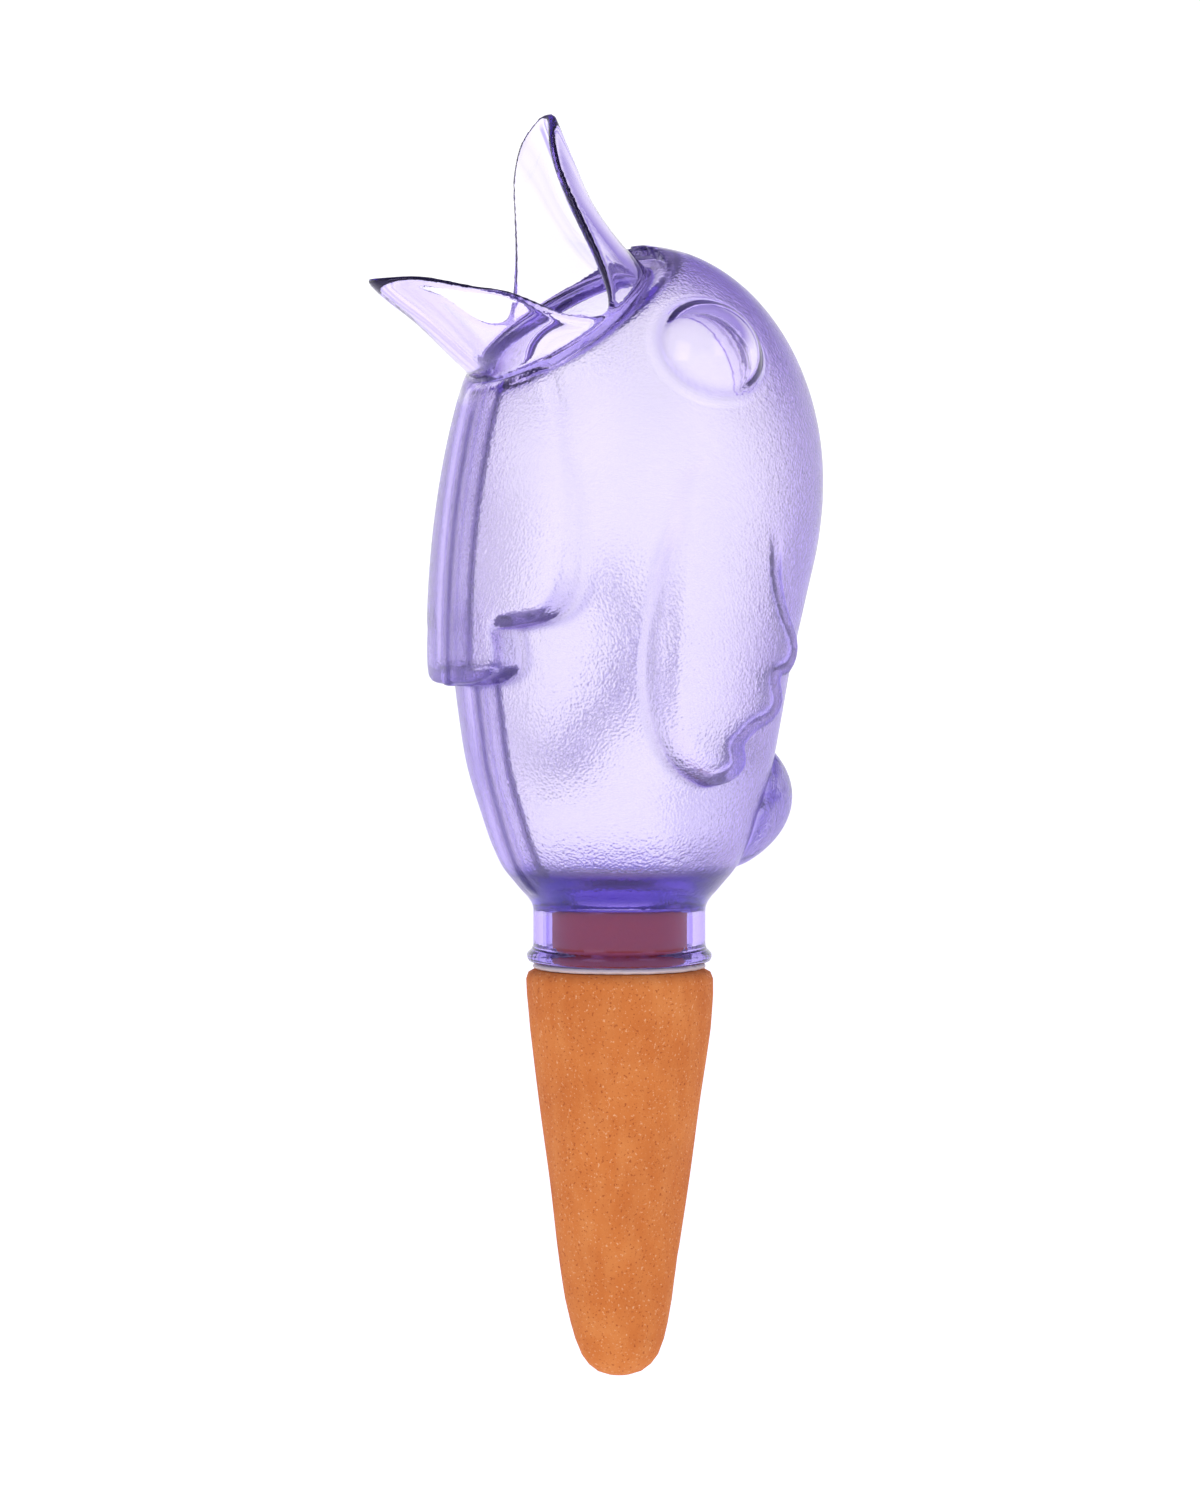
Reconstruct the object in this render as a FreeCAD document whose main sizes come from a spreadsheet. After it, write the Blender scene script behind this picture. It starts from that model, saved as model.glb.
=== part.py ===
"""Self watering spike: a clear bird with an open beak, moulded in two halves, on a porous clay cone.

The frame is in millimetres. Its origin is on the cone's axis, at the shoulder that rests on the soil.
+Z is up, the bird looks along -Y, and its left half is on +X.
"""
import FreeCAD, Part
import math
import os
import Sketcher
from FreeCAD import Placement, Rotation, Vector

os.makedirs("parts", exist_ok=True)
doc = FreeCAD.newDocument("watering_spike")

# Driving dimensions. Lengths are in millimetres. Names that end in lean or slope are angles in degrees.
SIZES = {
    "cone_length": 63.5,        # shoulder to tip
    "cone_radius": 14.7,        # just under the shoulder
    "cone_end_radius": 8.2,     # where the taper meets the rounded tip
    "tip_height": 10.0,         # rounded part of the cone
    "clay_wall": 3.2,
    "shoulder_round": 1.6,
    "spigot_height": 10.0,      # clay stub that stands up into the neck
    "glue_gap": 1.0,            # room for sealant between stub and neck
    "glue_line": 0.9,           # sealant squeezed out under the collar
    "glue_height": 7.4,         # how far the sealant climbs the stub
    "fit_gap": 0.1,             # between the sealant and what it holds
    "neck_radius": 13.4,
    "neck_height": 7.5,
    "collar_lip": 1.1,          # how far the collar stands out of the neck
    "collar_height": 2.2,
    "plastic_wall": 2.0,
    "bowl_floor": 2.0,          # extra thickness where the bowl meets the neck
    "bulb_height": 64.9,        # neck top to the widest level
    "half_width": 29.5,
    "half_depth": 28.3,
    "head_height": 36.5,        # widest level to the crown
    "head_lean_back": 3.4,      # how far the head's centre lies behind the cone's axis
    "root_slope": 35.4,         # the beak stands on a flat that slopes up to the back by this angle
    "upper_root_back": 2.2,     # the flat's upper end behind the cone's axis
    "lower_root_front": 23.8,   # its lower end before the cone's axis
    "lower_root_rise": 14.5,    # and above the widest level
    "root_run": 1.2,            # how far the beak's walls run on into the head
    "gullet_ledge": 0.6,        # ring left standing inside the beak, around the way down
    "beak_length": 27.5,        # from the flat, square to it, to the upper tip
    "mouth_half_width": 17.8,
    "beak_wall": 1.8,
    "eye_radius": 9.7,          # of the ball that the eye is a cap of
    "eye_side": 19.5,           # its centre from the mid-plane
    "eye_back": 3.0,            # its centre behind the cone's axis
    "eye_up": 17.4,             # its centre above the widest level
    "eye_wall": 1.6,
    "wing_bottom": 29.2,
    "wing_height": 51.0,
    "wing_front": 9.8,          # wing's front edge before the cone's axis
    "wing_width": 26.2,
    "wing_side": 30.4,          # wing's outer face from the mid-plane
    "bib_bottom": 44.4,
    "bib_height": 47.0,
    "bib_half_width": 20.4,
    "bib_reach": 30.2,          # bib's outer face before the cone's axis
    "tail_bottom": 14.6,
    "tail_height": 20.4,
    "tail_half_width": 12.0,
    "tail_reach": 30.0,         # tail's outer face behind the cone's axis
    "overrun": 5.0,             # how far a cutting form runs past what it cuts
}

sheet = doc.addObject("Spreadsheet::Sheet", "Sizes")
for row, (alias, number) in enumerate(SIZES.items(), start=1):
    sheet.set(f"A{row}", alias)
    sheet.set(f"B{row}", str(number))
    sheet.setAlias(f"B{row}", alias)
doc.recompute()


class Length:
    """A length worked out from the sheet: its value now, and the expression that keeps it current."""

    def __init__(self, value, text):
        self.value = value
        self.text = text

    def __add__(self, other):
        return Length(self.value + other.value, f"({self.text} + {other.text})")

    def __sub__(self, other):
        return Length(self.value - other.value, f"({self.text} - {other.text})")

    def __mul__(self, share):
        return Length(self.value * share, f"({self.text} * {share})")

    def __neg__(self):
        return Length(-self.value, f"(-{self.text})")


def size(alias):
    """One driving dimension, read from the sheet."""
    return Length(float(sheet.get(alias)), f"Sizes.{alias}")


def bind(thing, **lengths):
    """Tie properties to lengths. Two underscores in a name stand for a dot."""
    for name, length in lengths.items():
        thing.setExpression(name.replace("__", "."), length.text)
    return thing


NONE = Length(0.0, "0")
NECK_TOP = size("glue_line") + size("collar_height") + size("neck_height")
WIDEST = NECK_TOP + size("bulb_height")


def fuse(label, shapes):
    """Join shapes one after another. The last join carries the label."""
    joined = shapes[0]
    for number, shape in enumerate(shapes[1:], start=2):
        thing = doc.addObject("Part::Fuse", label if number == len(shapes) else f"{label}_{number}")
        thing.Base = joined
        thing.Tool = shape
        joined = thing
    return joined


def common(label, shapes):
    thing = doc.addObject("Part::MultiCommon", label)
    thing.Shapes = shapes
    return thing


def cut(label, base, tool):
    thing = doc.addObject("Part::Cut", label)
    thing.Base = base
    thing.Tool = tool
    return thing


def block(label, low, high):
    """A box between two corners, each a triple of lengths."""
    thing = doc.addObject("Part::Box", label)
    bind(thing, Placement__Base__x=low[0], Placement__Base__y=low[1], Placement__Base__z=low[2])
    return bind(thing, Length=high[0] - low[0], Width=high[1] - low[1], Height=high[2] - low[2])


def ellipsoid(label, centre, radii, lowest=-90.0):
    """An ellipsoid with its three radii along X, Y and Z, from a lowest latitude up."""
    thing = doc.addObject("Part::Ellipsoid", label)
    thing.Angle1 = lowest
    bind(thing, Placement__Base__x=centre[0], Placement__Base__y=centre[1], Placement__Base__z=centre[2])
    return bind(thing, Radius2=radii[0], Radius3=radii[1], Radius1=radii[2])


def oval(label, half_x, half_y, centre_y, centre_z):
    """A level ellipse for a loft, at least as wide as it is deep."""
    thing = doc.addObject("Part::Ellipse", label)
    thing.setExpression("MajorRadius", half_x.text)
    thing.setExpression("MinorRadius", f"min({half_y.text}; {half_x.text})")
    return bind(thing, Placement__Base__y=centre_y, Placement__Base__z=centre_z)


def loft(label, sections):
    thing = doc.addObject("Part::Loft", label)
    thing.Sections = sections
    thing.Solid = True
    return thing


# A body's own sketch, with every corner and every arc's middle tied to lengths.

def plane_of(body, role):
    return [plane for plane in body.Origin.OriginFeatures if plane.Role == role][0]


def place_constraints(geometry, position, point):
    """Constraints that hold a sketch point at a pair of lengths, with the expression for each."""
    held = []
    for kind, axis, length in (("DistanceX", -2, point[0]), ("DistanceY", -1, point[1])):
        if length.value == 0.0:
            held.append((Sketcher.Constraint("PointOnObject", geometry, position, axis), None))
        elif length.value > 0.0:
            one = Sketcher.Constraint(kind, -1, 1, geometry, position, length.value)
            held.append((one, length.text))
        else:
            one = Sketcher.Constraint(kind, geometry, position, -1, 1, -length.value)
            held.append((one, f"-{length.text}"))
    return held


def outline(body, label, role, start, steps, offset=None):
    """A closed sketch: from start, each step is a corner, or a pair of an arc's middle and its end."""
    sketch = body.newObject("Sketcher::SketchObject", label)
    sketch.AttachmentSupport = [(plane_of(body, role), "")]
    sketch.MapMode = "FlatFace"
    if offset:
        sketch.setExpression("AttachmentOffset.Base.z", offset.text)
    flat = lambda point: Vector(point[0].value, point[1].value, 0)
    held, ends = [], []
    corner = start
    for step in steps:
        is_arc = isinstance(step[0], tuple)
        goal = step[1] if is_arc else step
        if is_arc:
            middle = step[0]
            turn = (flat(middle) - flat(corner)).cross(flat(goal) - flat(middle)).z
            first, last = (flat(corner), flat(goal)) if turn > 0.0 else (flat(goal), flat(corner))
            edge = sketch.addGeometry(Part.Arc(first, flat(middle), last))
            dot = sketch.addGeometry(Part.Point(flat(middle)), True)
            held.append((Sketcher.Constraint("PointOnObject", dot, 1, edge), None))
            held += place_constraints(dot, 1, middle)
            ends.append((edge, 1, 2) if turn > 0.0 else (edge, 2, 1))
        else:
            edge = sketch.addGeometry(Part.LineSegment(flat(corner), flat(goal)))
            ends.append((edge, 1, 2))
        held += place_constraints(edge, ends[-1][1], corner)
        corner = goal
    for (edge, _, last), (following, first, _) in zip(ends, ends[1:] + ends[:1]):
        held.append((Sketcher.Constraint("Coincident", edge, last, following, first), None))
    numbers = sketch.addConstraint([constraint for constraint, _ in held])
    for number, (_, text) in zip(numbers, held):
        if text:
            sketch.setExpression(f"Constraints[{number}]", text)
    return sketch


def padded(label, role, start, steps, length, offset=None, backwards=False, both_ways=False):
    """A body made by padding one outline."""
    body = doc.addObject("PartDesign::Body", label)
    sketch = outline(body, label + "_outline", role, start, steps, offset)
    pad = body.newObject("PartDesign::Pad", label + "_pad")
    pad.Profile = sketch
    pad.Reversed = backwards
    pad.Midplane = both_ways
    bind(pad, Length=length)
    return body


def turned(label, start, steps):
    """A body made by turning one outline of radii and heights about the Z axis."""
    body = doc.addObject("PartDesign::Body", label)
    sketch = outline(body, label + "_outline", "XZ_Plane", start, steps)
    turn = body.newObject("PartDesign::Revolution", label + "_turn")
    turn.Profile = sketch
    turn.ReferenceAxis = (sketch, ["V_Axis"])
    turn.Angle = 360.0
    return body


# The clay cone: slip cast, so its hollow follows its outside at an even wall.

NECK_BORE = size("neck_radius") - size("plastic_wall")
SPIGOT = NECK_BORE - size("glue_gap")
SPIGOT_BORE = SPIGOT - size("clay_wall")
cone_radius = size("cone_radius")
end_radius = size("cone_end_radius")
clay = size("clay_wall")
depth = size("cone_length")
tip_top = size("tip_height") - depth
edge_round = size("shoulder_round")
CORNER_SHARE = 0.293            # how far in a quarter arc's middle lies, as a share of its radius

clay_cone = turned("clay_cone", (SPIGOT_BORE, size("spigot_height")), [
    (SPIGOT - edge_round * 0.4, size("spigot_height")),
    (SPIGOT, size("spigot_height") - edge_round * 0.4),
    (SPIGOT, NONE),
    (cone_radius - edge_round, NONE),
    ((cone_radius - edge_round * CORNER_SHARE, -edge_round * CORNER_SHARE), (cone_radius, -edge_round)),
    (cone_radius - edge_round * 0.05, -edge_round * 2.5),
    (end_radius, tip_top),
    ((end_radius * 0.82, tip_top - size("tip_height") * 0.56),
     (end_radius * 0.55, tip_top - size("tip_height") * 0.86)),
    ((end_radius * 0.28, tip_top - size("tip_height") * 0.965), (NONE, -depth)),
    (NONE, clay - depth),
    (((end_radius - clay) * 0.72, tip_top - (size("tip_height") - clay) * 0.72),
     (end_radius - clay, tip_top)),
    (cone_radius - clay * 1.2, -clay * 2.2),
    ((cone_radius - clay * 1.55, -clay * 1.1), (SPIGOT_BORE, -clay * 0.4)),
    (SPIGOT_BORE, size("spigot_height")),
])

# The sealant: a sleeve between clay stub and neck, and the bead that squeezed out under the collar.

sealant = turned("sealant", (SPIGOT + size("fit_gap"), NONE), [
    (size("neck_radius") - size("glue_line") * 0.5, NONE),
    ((size("neck_radius"), size("glue_line") * 0.5),
     (size("neck_radius") - size("glue_line") * 0.5, size("glue_line"))),
    (NECK_BORE - size("fit_gap"), size("glue_line")),
    (NECK_BORE - size("fit_gap"), size("glue_height")),
    (SPIGOT + size("fit_gap"), size("glue_height") - size("glue_gap") * 0.5),
    (SPIGOT + size("fit_gap"), NONE),
])

# The bird's outside and hollow. Each row: height, width, depth and lean shares from neck to widest level.
BULB_SHARES = (
    (0.0, 0.0, 0.0, 0.0), (0.0385, 0.131, 0.142, 0.0), (0.077, 0.275, 0.297, 0.0),
    (0.122, 0.394, 0.4257, 0.0), (0.211, 0.544, 0.588, 0.0), (0.322, 0.675, 0.696, 0.0),
    (0.433, 0.769, 0.757, 0.03), (0.5455, 0.831, 0.831, 0.1), (0.721, 0.925, 0.939, 0.42),
    (0.866, 0.981, 0.993, 0.83), (0.946, 0.997, 1.0, 0.975), (1.0, 1.0, 1.0, 1.0),
)


CROWN_DEGREES = (12.0, 24.0, 36.0, 47.0, 57.0, 66.0, 74.0, 81.0, 86.0)


def bird_form(label, inset, floor):
    """The bulb and the domed head in one loft, set in from the outside by a wall, over a raised floor."""
    wide, deep, round_neck = size("half_width"), size("half_depth"), size("neck_radius")
    sections = []
    for up_share, width_share, depth_share, lean_share in BULB_SHARES:
        half_x = round_neck + (wide - round_neck) * width_share - inset
        half_y = round_neck + (deep - round_neck) * depth_share - inset
        centre_z = NECK_TOP + floor + (size("bulb_height") - floor) * up_share
        sections.append(oval(f"{label}_section_{len(sections)}", half_x, half_y,
                             size("head_lean_back") * lean_share, centre_z))
    for degrees in CROWN_DEGREES:
        across_share, up_share = math.cos(math.radians(degrees)), math.sin(math.radians(degrees))
        sections.append(oval(f"{label}_section_{len(sections)}", (wide - inset) * across_share,
                             (deep - inset) * across_share, size("head_lean_back"),
                             WIDEST + (size("head_height") - inset) * up_share))
    return loft(label, sections)


wall = size("plastic_wall")
outside = bird_form("outside", NONE, NONE)
hollow = bird_form("hollow", wall, size("bowl_floor"))

# The neck with its rounded collar, turned in one, and the bore that takes the clay stub.

neck_radius = size("neck_radius")
collar = neck_radius + size("collar_lip")
collar_top = size("glue_line") + size("collar_height")
neck = turned("neck", (NECK_BORE, size("glue_line")), [
    (collar - size("collar_lip") * 0.6, size("glue_line")),
    ((collar, size("glue_line") + size("collar_height") * 0.42),
     (collar - size("collar_lip") * 0.6, collar_top - size("collar_height") * 0.1)),
    (neck_radius, collar_top),
    (neck_radius, NECK_TOP + size("bowl_floor")),
    (NECK_BORE, NECK_TOP + size("bowl_floor")),
    (NECK_BORE, size("glue_line")),
])
bore = doc.addObject("Part::Cylinder", "bore")
bind(bore, Radius=NECK_BORE, Height=NECK_TOP + size("bowl_floor") * 2.0 - size("glue_line"))
bind(bore, Placement__Base__z=size("glue_line"))

# The beak: a flared tube that stands on a flat across the sloping front of the head, split by the mouth.
# Each row: shares of beak length, and of root half length, root half length and mouth half width.
BEAK_SHARES = (
    (0.2, -0.054, 1.051, 0.9), (0.469, -0.093, 1.128, 0.764), (0.749, -0.137, 1.262, 0.607),
    (1.0, -0.179, 1.323, 0.449), (1.13, -0.2, 1.35, 0.37),
)
CORNER_SHARES = (-0.016, 0.051)
UPPER_RIM_SHARES = (
    ((0.16, 0.113), (0.335, 0.309)), ((0.498, 0.556), (0.645, 0.764)), ((0.831, 0.909), (1.086, 1.0)),
)
LOWER_RIM_SHARES = (
    (-1.438, 0.858), ((-1.144, 0.749), (-0.831, 0.56)), ((-0.594, 0.422), (-0.3, 0.156)), CORNER_SHARES,
)
slope = math.radians(size("root_slope").value)
root_depth = size("upper_root_back") + size("lower_root_front")
root_half = Length(root_depth.value / math.cos(slope), f"({root_depth.text} / cos(Sizes.root_slope))") * 0.5
ROOT_Y = (size("upper_root_back") - size("lower_root_front")) * 0.5
ROOT_Z = WIDEST + size("lower_root_rise") + Length(root_half.value * math.sin(slope),
                                                   f"({root_half.text} * sin(Sizes.root_slope))")
over = size("overrun")


def from_root(back, out):
    """The height and depth of a point on the mid-plane, so far back up the flat and so far out from it."""
    slope_text = "Sizes.root_slope"
    y_move = Length(back.value * math.cos(slope) - out.value * math.sin(slope),
                    f"({back.text} * cos({slope_text}) - {out.text} * sin({slope_text}))")
    z_move = Length(back.value * math.sin(slope) + out.value * math.cos(slope),
                    f"({back.text} * sin({slope_text}) + {out.text} * cos({slope_text}))")
    return ROOT_Y + y_move, ROOT_Z + z_move


def rim_point(shares):
    back_share, out_share = shares
    return from_root(root_half * back_share, size("beak_length") * out_share)


def flat_oval(centre, half_x, half_back, points=24):
    """An oval parallel to the flat, wide or long: one closed spline, so that every section starts alike."""
    around = []
    for number in range(points):
        turn = math.radians(360.0 * number / points)
        across, up = half_x.value * math.cos(turn), half_back.value * math.sin(turn)
        around.append(Vector(across, centre[0].value + up * math.cos(slope), centre[1].value + up * math.sin(slope)))
    curve = Part.BSplineCurve()
    curve.interpolate(Points=around, PeriodicFlag=True)
    return Part.Wire(curve.toShape())


def funnel(label, inset, deep):
    """The beak's tube before the mouth is cut, or its hollow where inset, from so deep under the flat."""
    wires = [flat_oval(from_root(NONE, -deep), size("mouth_half_width") - inset, root_half - inset),
             flat_oval(from_root(NONE, NONE), size("mouth_half_width") - inset, root_half - inset)]
    for out_share, back_share, length_share, width_share in BEAK_SHARES:
        wires.append(flat_oval(from_root(root_half * back_share, size("beak_length") * out_share + inset),
                               size("mouth_half_width") * width_share - inset,
                               root_half * length_share - inset))
    thing = doc.addObject("Part::Feature", label)
    thing.Shape = Part.makeLoft(wires, True)
    return thing


def beside_root(label, drop, above):
    """All the space above the sloping flat that the beak stands on, lowered by a drop, or all below it."""
    room = size("half_depth") * 2.0
    base_y, base_z = from_root(-room, -drop if above else -drop - room * 2.0)
    thing = doc.addObject("Part::Box", label)
    thing.Placement = Placement(Vector(), Rotation(Vector(1, 0, 0), size("root_slope").value))
    thing.setExpression("Placement.Rotation.Angle", "Sizes.root_slope")
    bind(thing, Placement__Base__x=-room, Placement__Base__y=base_y, Placement__Base__z=base_z)
    return bind(thing, Length=room * 2.0, Width=room * 3.0, Height=room * 2.0)


def mouth_form(label):
    """All that the open mouth takes away: the wedge between the rims, and the tube's end above the tips."""
    upper_tip, lower_tip = rim_point(UPPER_RIM_SHARES[-1][1]), rim_point(LOWER_RIM_SHARES[0])
    front, top, back = lower_tip[0] - over * 2.0, upper_tip[1] + over * 2.0, upper_tip[0] + over * 2.0
    steps = [tuple(rim_point(point) for point in pair) for pair in UPPER_RIM_SHARES]
    steps += [(back, upper_tip[1]), (back, top), (front, top), (front, lower_tip[1] - over), lower_tip]
    steps += [tuple(rim_point(point) for point in pair) for pair in LOWER_RIM_SHARES[1:-1]]
    steps.append(rim_point(CORNER_SHARES))
    across = (size("mouth_half_width") + over) * 2.0
    return padded(label, "YZ_Plane", rim_point(CORNER_SHARES), steps, across, both_ways=True)


mouth = mouth_form("mouth")
horn = funnel("horn", NONE, size("root_run"))
throat = funnel("throat", size("beak_wall"), wall * 2.0)


def down_hole(label, radius):
    """A round way down across the flat, square to it."""
    foot_y, foot_z = from_root(NONE, -wall * 3.0)
    thing = doc.addObject("Part::Cylinder", label)
    thing.Placement = Placement(Vector(), Rotation(Vector(1, 0, 0), size("root_slope").value))
    thing.setExpression("Placement.Rotation.Angle", "Sizes.root_slope")
    bind(thing, Placement__Base__y=foot_y, Placement__Base__z=foot_z)
    return bind(thing, Radius=radius, Height=wall * 3.0 + size("root_run"))


gullet = down_hole("gullet", root_half - size("beak_wall") - size("gullet_ledge"))

# Wings, bib and tail: feathered outlines, padded through the body and cut to their rounded outer faces.


def placed(corner_low, spread, share):
    """A point of an outline from its shares of a width and a height, above a low corner."""
    return corner_low[0] + spread[0] * share[0], corner_low[1] + spread[1] * share[1]


def feathered(corner_low, spread, shares):
    """The start and the steps of an outline whose shares come as corners, or as middle and end of an arc."""
    steps = []
    for share in shares:
        if isinstance(share[0], tuple):
            steps.append(tuple(placed(corner_low, spread, point) for point in share))
        else:
            steps.append(placed(corner_low, spread, share))
    start = steps[-1][1] if isinstance(steps[-1][0], tuple) else steps[-1]
    return start, steps


WING_SHARES = (
    ((0.05, 0.614), (0.0, 0.343)),
    ((0.084, 0.153), (0.359, 0.004)),
    ((0.53, 0.03), (0.603, 0.106)),
    ((0.78, 0.15), (0.85, 0.29)),
    ((0.985, 0.36), (0.97, 0.467)),
    ((0.86, 0.6), (0.84, 0.75)),
    (0.62, 1.0),
    (0.33, 1.0),
)
BIB_SHARES = (
    ((0.25, 0.003), (0.44, 0.015)),
    ((0.55, 0.045), (0.53, 0.175)),
    ((0.78, 0.2), (0.96, 0.32)),
    ((1.0, 0.46), (0.9, 0.75)),
    (0.6, 1.0),
)
TAIL_SHARES = (
    ((0.22, 0.02), (0.42, 0.09)),
    ((0.62, 0.1), (0.72, 0.24)),
    ((1.0, 0.34), (0.98, 0.55)),
    ((0.93, 0.63), (0.82, 0.66)),
    ((0.84, 0.8), (0.7, 0.9)),
    ((0.4, 0.99), (0.0, 1.0)),
)


def both_sides(shares):
    """Shares of a right half from its bottom centre up, carried on down the mirrored left half."""
    steps = list(shares)
    if isinstance(steps[-1][0], float):
        steps.append((-steps[-1][0], steps[-1][1]))
    points = [(0.0, 0.0)] + [share[1] if isinstance(share[0], tuple) else share for share in shares]
    for share, start_share in reversed(list(zip(shares, points))):
        if isinstance(share[0], tuple):
            steps.append(((-share[0][0], share[0][1]), (-start_share[0], start_share[1])))
        else:
            steps.append((-start_share[0], start_share[1]))
    return steps


def wing_form(label, inset):
    low = (inset - size("wing_front"), size("wing_bottom") + inset)
    spread = (size("wing_width") - inset * 2.0, size("wing_height") - inset * 2.0)
    start, steps = feathered(low, spread, WING_SHARES)
    plate = padded(label + "_plate", "YZ_Plane", start, steps, size("half_width"),
                   offset=size("half_width") * 0.66)
    centre = (NONE, NONE, size("wing_bottom") + size("wing_height") * 0.58)
    face = ellipsoid(label + "_face", centre,
                     (size("wing_side") - inset, size("wing_side") - inset, size("wing_height") * 1.35 - inset))
    return common(label, [plate, face])


def bib_form(label, inset):
    low = (NONE, size("bib_bottom") + inset)
    start, steps = feathered(low, (size("bib_half_width") - inset, size("bib_height") - inset),
                             both_sides(BIB_SHARES))
    plate = padded(label + "_plate", "XZ_Plane", start, steps, size("half_depth"),
                   offset=size("half_depth") * 0.4)
    centre = (NONE, NONE, size("bib_bottom") + size("bib_height") * 0.12)
    face = ellipsoid(label + "_face", centre, (size("bib_half_width") * 1.35 - inset, size("bib_reach") - inset,
                                               size("bib_height") * 1.49 - inset))
    return common(label, [plate, face])


def tail_form(label, inset):
    low = (NONE, size("tail_bottom") + inset)
    start, steps = feathered(low, (size("tail_half_width") - inset, size("tail_height") - inset * 2.0),
                             both_sides(TAIL_SHARES))
    plate = padded(label + "_plate", "XZ_Plane", start, steps, size("tail_reach"),
                   offset=-size("tail_reach") * 0.35, backwards=True)
    centre = (NONE, size("tail_reach") * 0.27, size("tail_bottom") + size("tail_height") * 0.5)
    face = ellipsoid(label + "_face", centre, (size("tail_half_width") * 1.25 - inset,
                                               size("tail_reach") * 0.73 - inset,
                                               size("tail_height") * 0.7 - inset))
    return common(label, [plate, face])


def eye_form(label, inset):
    ball = doc.addObject("Part::Sphere", label)
    bind(ball, Placement__Base__x=size("eye_side"), Placement__Base__y=size("eye_back"))
    return bind(ball, Placement__Base__z=WIDEST + size("eye_up"), Radius=size("eye_radius") - inset)


def mirrored(label, source):
    thing = doc.addObject("Part::Mirroring", label)
    thing.Source = source
    thing.Normal = Vector(1, 0, 0)
    return thing


# The left half: the outside of head and beak, each less its hollow.

forms = [outside, neck, bib_form("bib", NONE), tail_form("tail", NONE), wing_form("wing", NONE),
         eye_form("eye", NONE)]
hollow_forms = [hollow, bore, bib_form("bib_hollow", wall), tail_form("tail_hollow", wall),
                wing_form("wing_hollow", wall), eye_form("eye_hollow", size("eye_wall"))]
head = cut("head", fuse("head_forms", forms), beside_root("beak_side", NONE, above=True))
reservoir = cut("reservoir", fuse("reservoir_forms", hollow_forms), beside_root("roof_side", wall, above=True))
head_skin = cut("head_skin", cut("closed_head", head, reservoir), gullet)
near_half = block("near_half", (NONE, -size("half_depth") * 3.0, NONE),
                  (size("half_width") * 2.0, size("half_depth") * 3.0, WIDEST + size("head_height") * 3.0))
head_half, horn_half, throat_half = [common("half_" + thing.Name, [thing, near_half])
                                     for thing in (head_skin, horn, throat)]
beak_half = cut("half_beak", cut("half_tube", horn_half, throat_half), mouth)
left_shell = fuse("left_shell", [head_half, beak_half])
for thing in (head_half, horn_half, throat_half, beak_half.Base, beak_half, left_shell):
    thing.Refine = False
right_shell = mirrored("right_shell", left_shell)

# Write each piece to its own file, once every object of the document is sound.

PIECES = (left_shell, right_shell, clay_cone, sealant)
doc.recompute()
failed = [thing.Name for thing in doc.Objects if {"Invalid", "Error"} & set(thing.State)]
if failed:
    raise RuntimeError("not built: " + ", ".join(failed))
for piece in PIECES:
    if piece.Shape.isNull() or not piece.Shape.isValid():
        raise RuntimeError("not sound: " + piece.Label)
for piece in PIECES:
    piece.Shape.exportStep(f"parts/{piece.Label}.step")
    box = piece.Shape.BoundBox
    print(piece.Label, len(piece.Shape.Solids), "solid", round(piece.Shape.Volume / 1000.0, 2), "cm3",
          [round(low, 1) for low in (box.XMin, box.YMin, box.ZMin)],
          [round(high, 1) for high in (box.XMax, box.YMax, box.ZMax)])
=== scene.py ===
# %% [markdown]
# A self watering spike: a hollow bird of clear violet plastic stands on a cone of fired clay. Water goes
# in at the open beak, runs down through the neck into the cone, and seeps out through the clay.
# The CAD model fixes every size and place. This script gives the pieces the look of the real ones: two
# moulded shells with a pebbled skin and a polished beak, raw terracotta, and a little clear sealant.

# %% Load the fixed frame
import math
import bmesh
import bpy
import numpy as np
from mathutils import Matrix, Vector


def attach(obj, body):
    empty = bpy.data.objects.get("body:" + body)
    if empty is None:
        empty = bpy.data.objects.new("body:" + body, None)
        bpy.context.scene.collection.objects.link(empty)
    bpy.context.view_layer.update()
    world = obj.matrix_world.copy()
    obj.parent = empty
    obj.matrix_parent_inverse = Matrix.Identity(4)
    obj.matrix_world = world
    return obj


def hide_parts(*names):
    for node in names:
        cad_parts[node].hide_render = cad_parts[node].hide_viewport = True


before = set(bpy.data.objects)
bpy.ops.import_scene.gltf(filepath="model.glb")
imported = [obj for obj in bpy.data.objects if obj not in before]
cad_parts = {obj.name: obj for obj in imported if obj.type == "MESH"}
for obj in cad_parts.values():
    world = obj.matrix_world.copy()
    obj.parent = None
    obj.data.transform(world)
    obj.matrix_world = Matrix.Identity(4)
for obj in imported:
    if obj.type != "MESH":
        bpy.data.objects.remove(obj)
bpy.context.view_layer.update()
MM = 0.001
print("nodes", sorted(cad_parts))

# %% [markdown]
# The bird is a body of smooth bulges with a few crisp steps, so it is drawn as a distance field: a number
# at each point of a grid that says how far the nearest skin is. Fields add up like clay. Two bulges join
# with a fillet, and a wall is what lies between the skin and the same skin moved inwards.
# Box modelling with a subdivision surface could make it too, but the scalloped feather steps would need
# many supporting loops, and the even wall, which gives clear plastic its look, would be hard to keep.

# %% Joining and easing


def smooth_union(one, other, radius):
    """Join two fields with a fillet."""
    blend = np.clip(0.5 + 0.5 * (other - one) / radius, 0.0, 1.0)
    return other + (one - other) * blend - radius * blend * (1.0 - blend)


def smooth_overlap(one, other, radius):
    """Keep what two fields share, with a rounded edge."""
    return -smooth_union(-one, -other, radius)


def ease(value, low, high):
    """From 0 below low to 1 above high, with no corner."""
    share = np.clip((value - low) / (high - low), 0.0, 1.0)
    return share * share * (3.0 - 2.0 * share)


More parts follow.
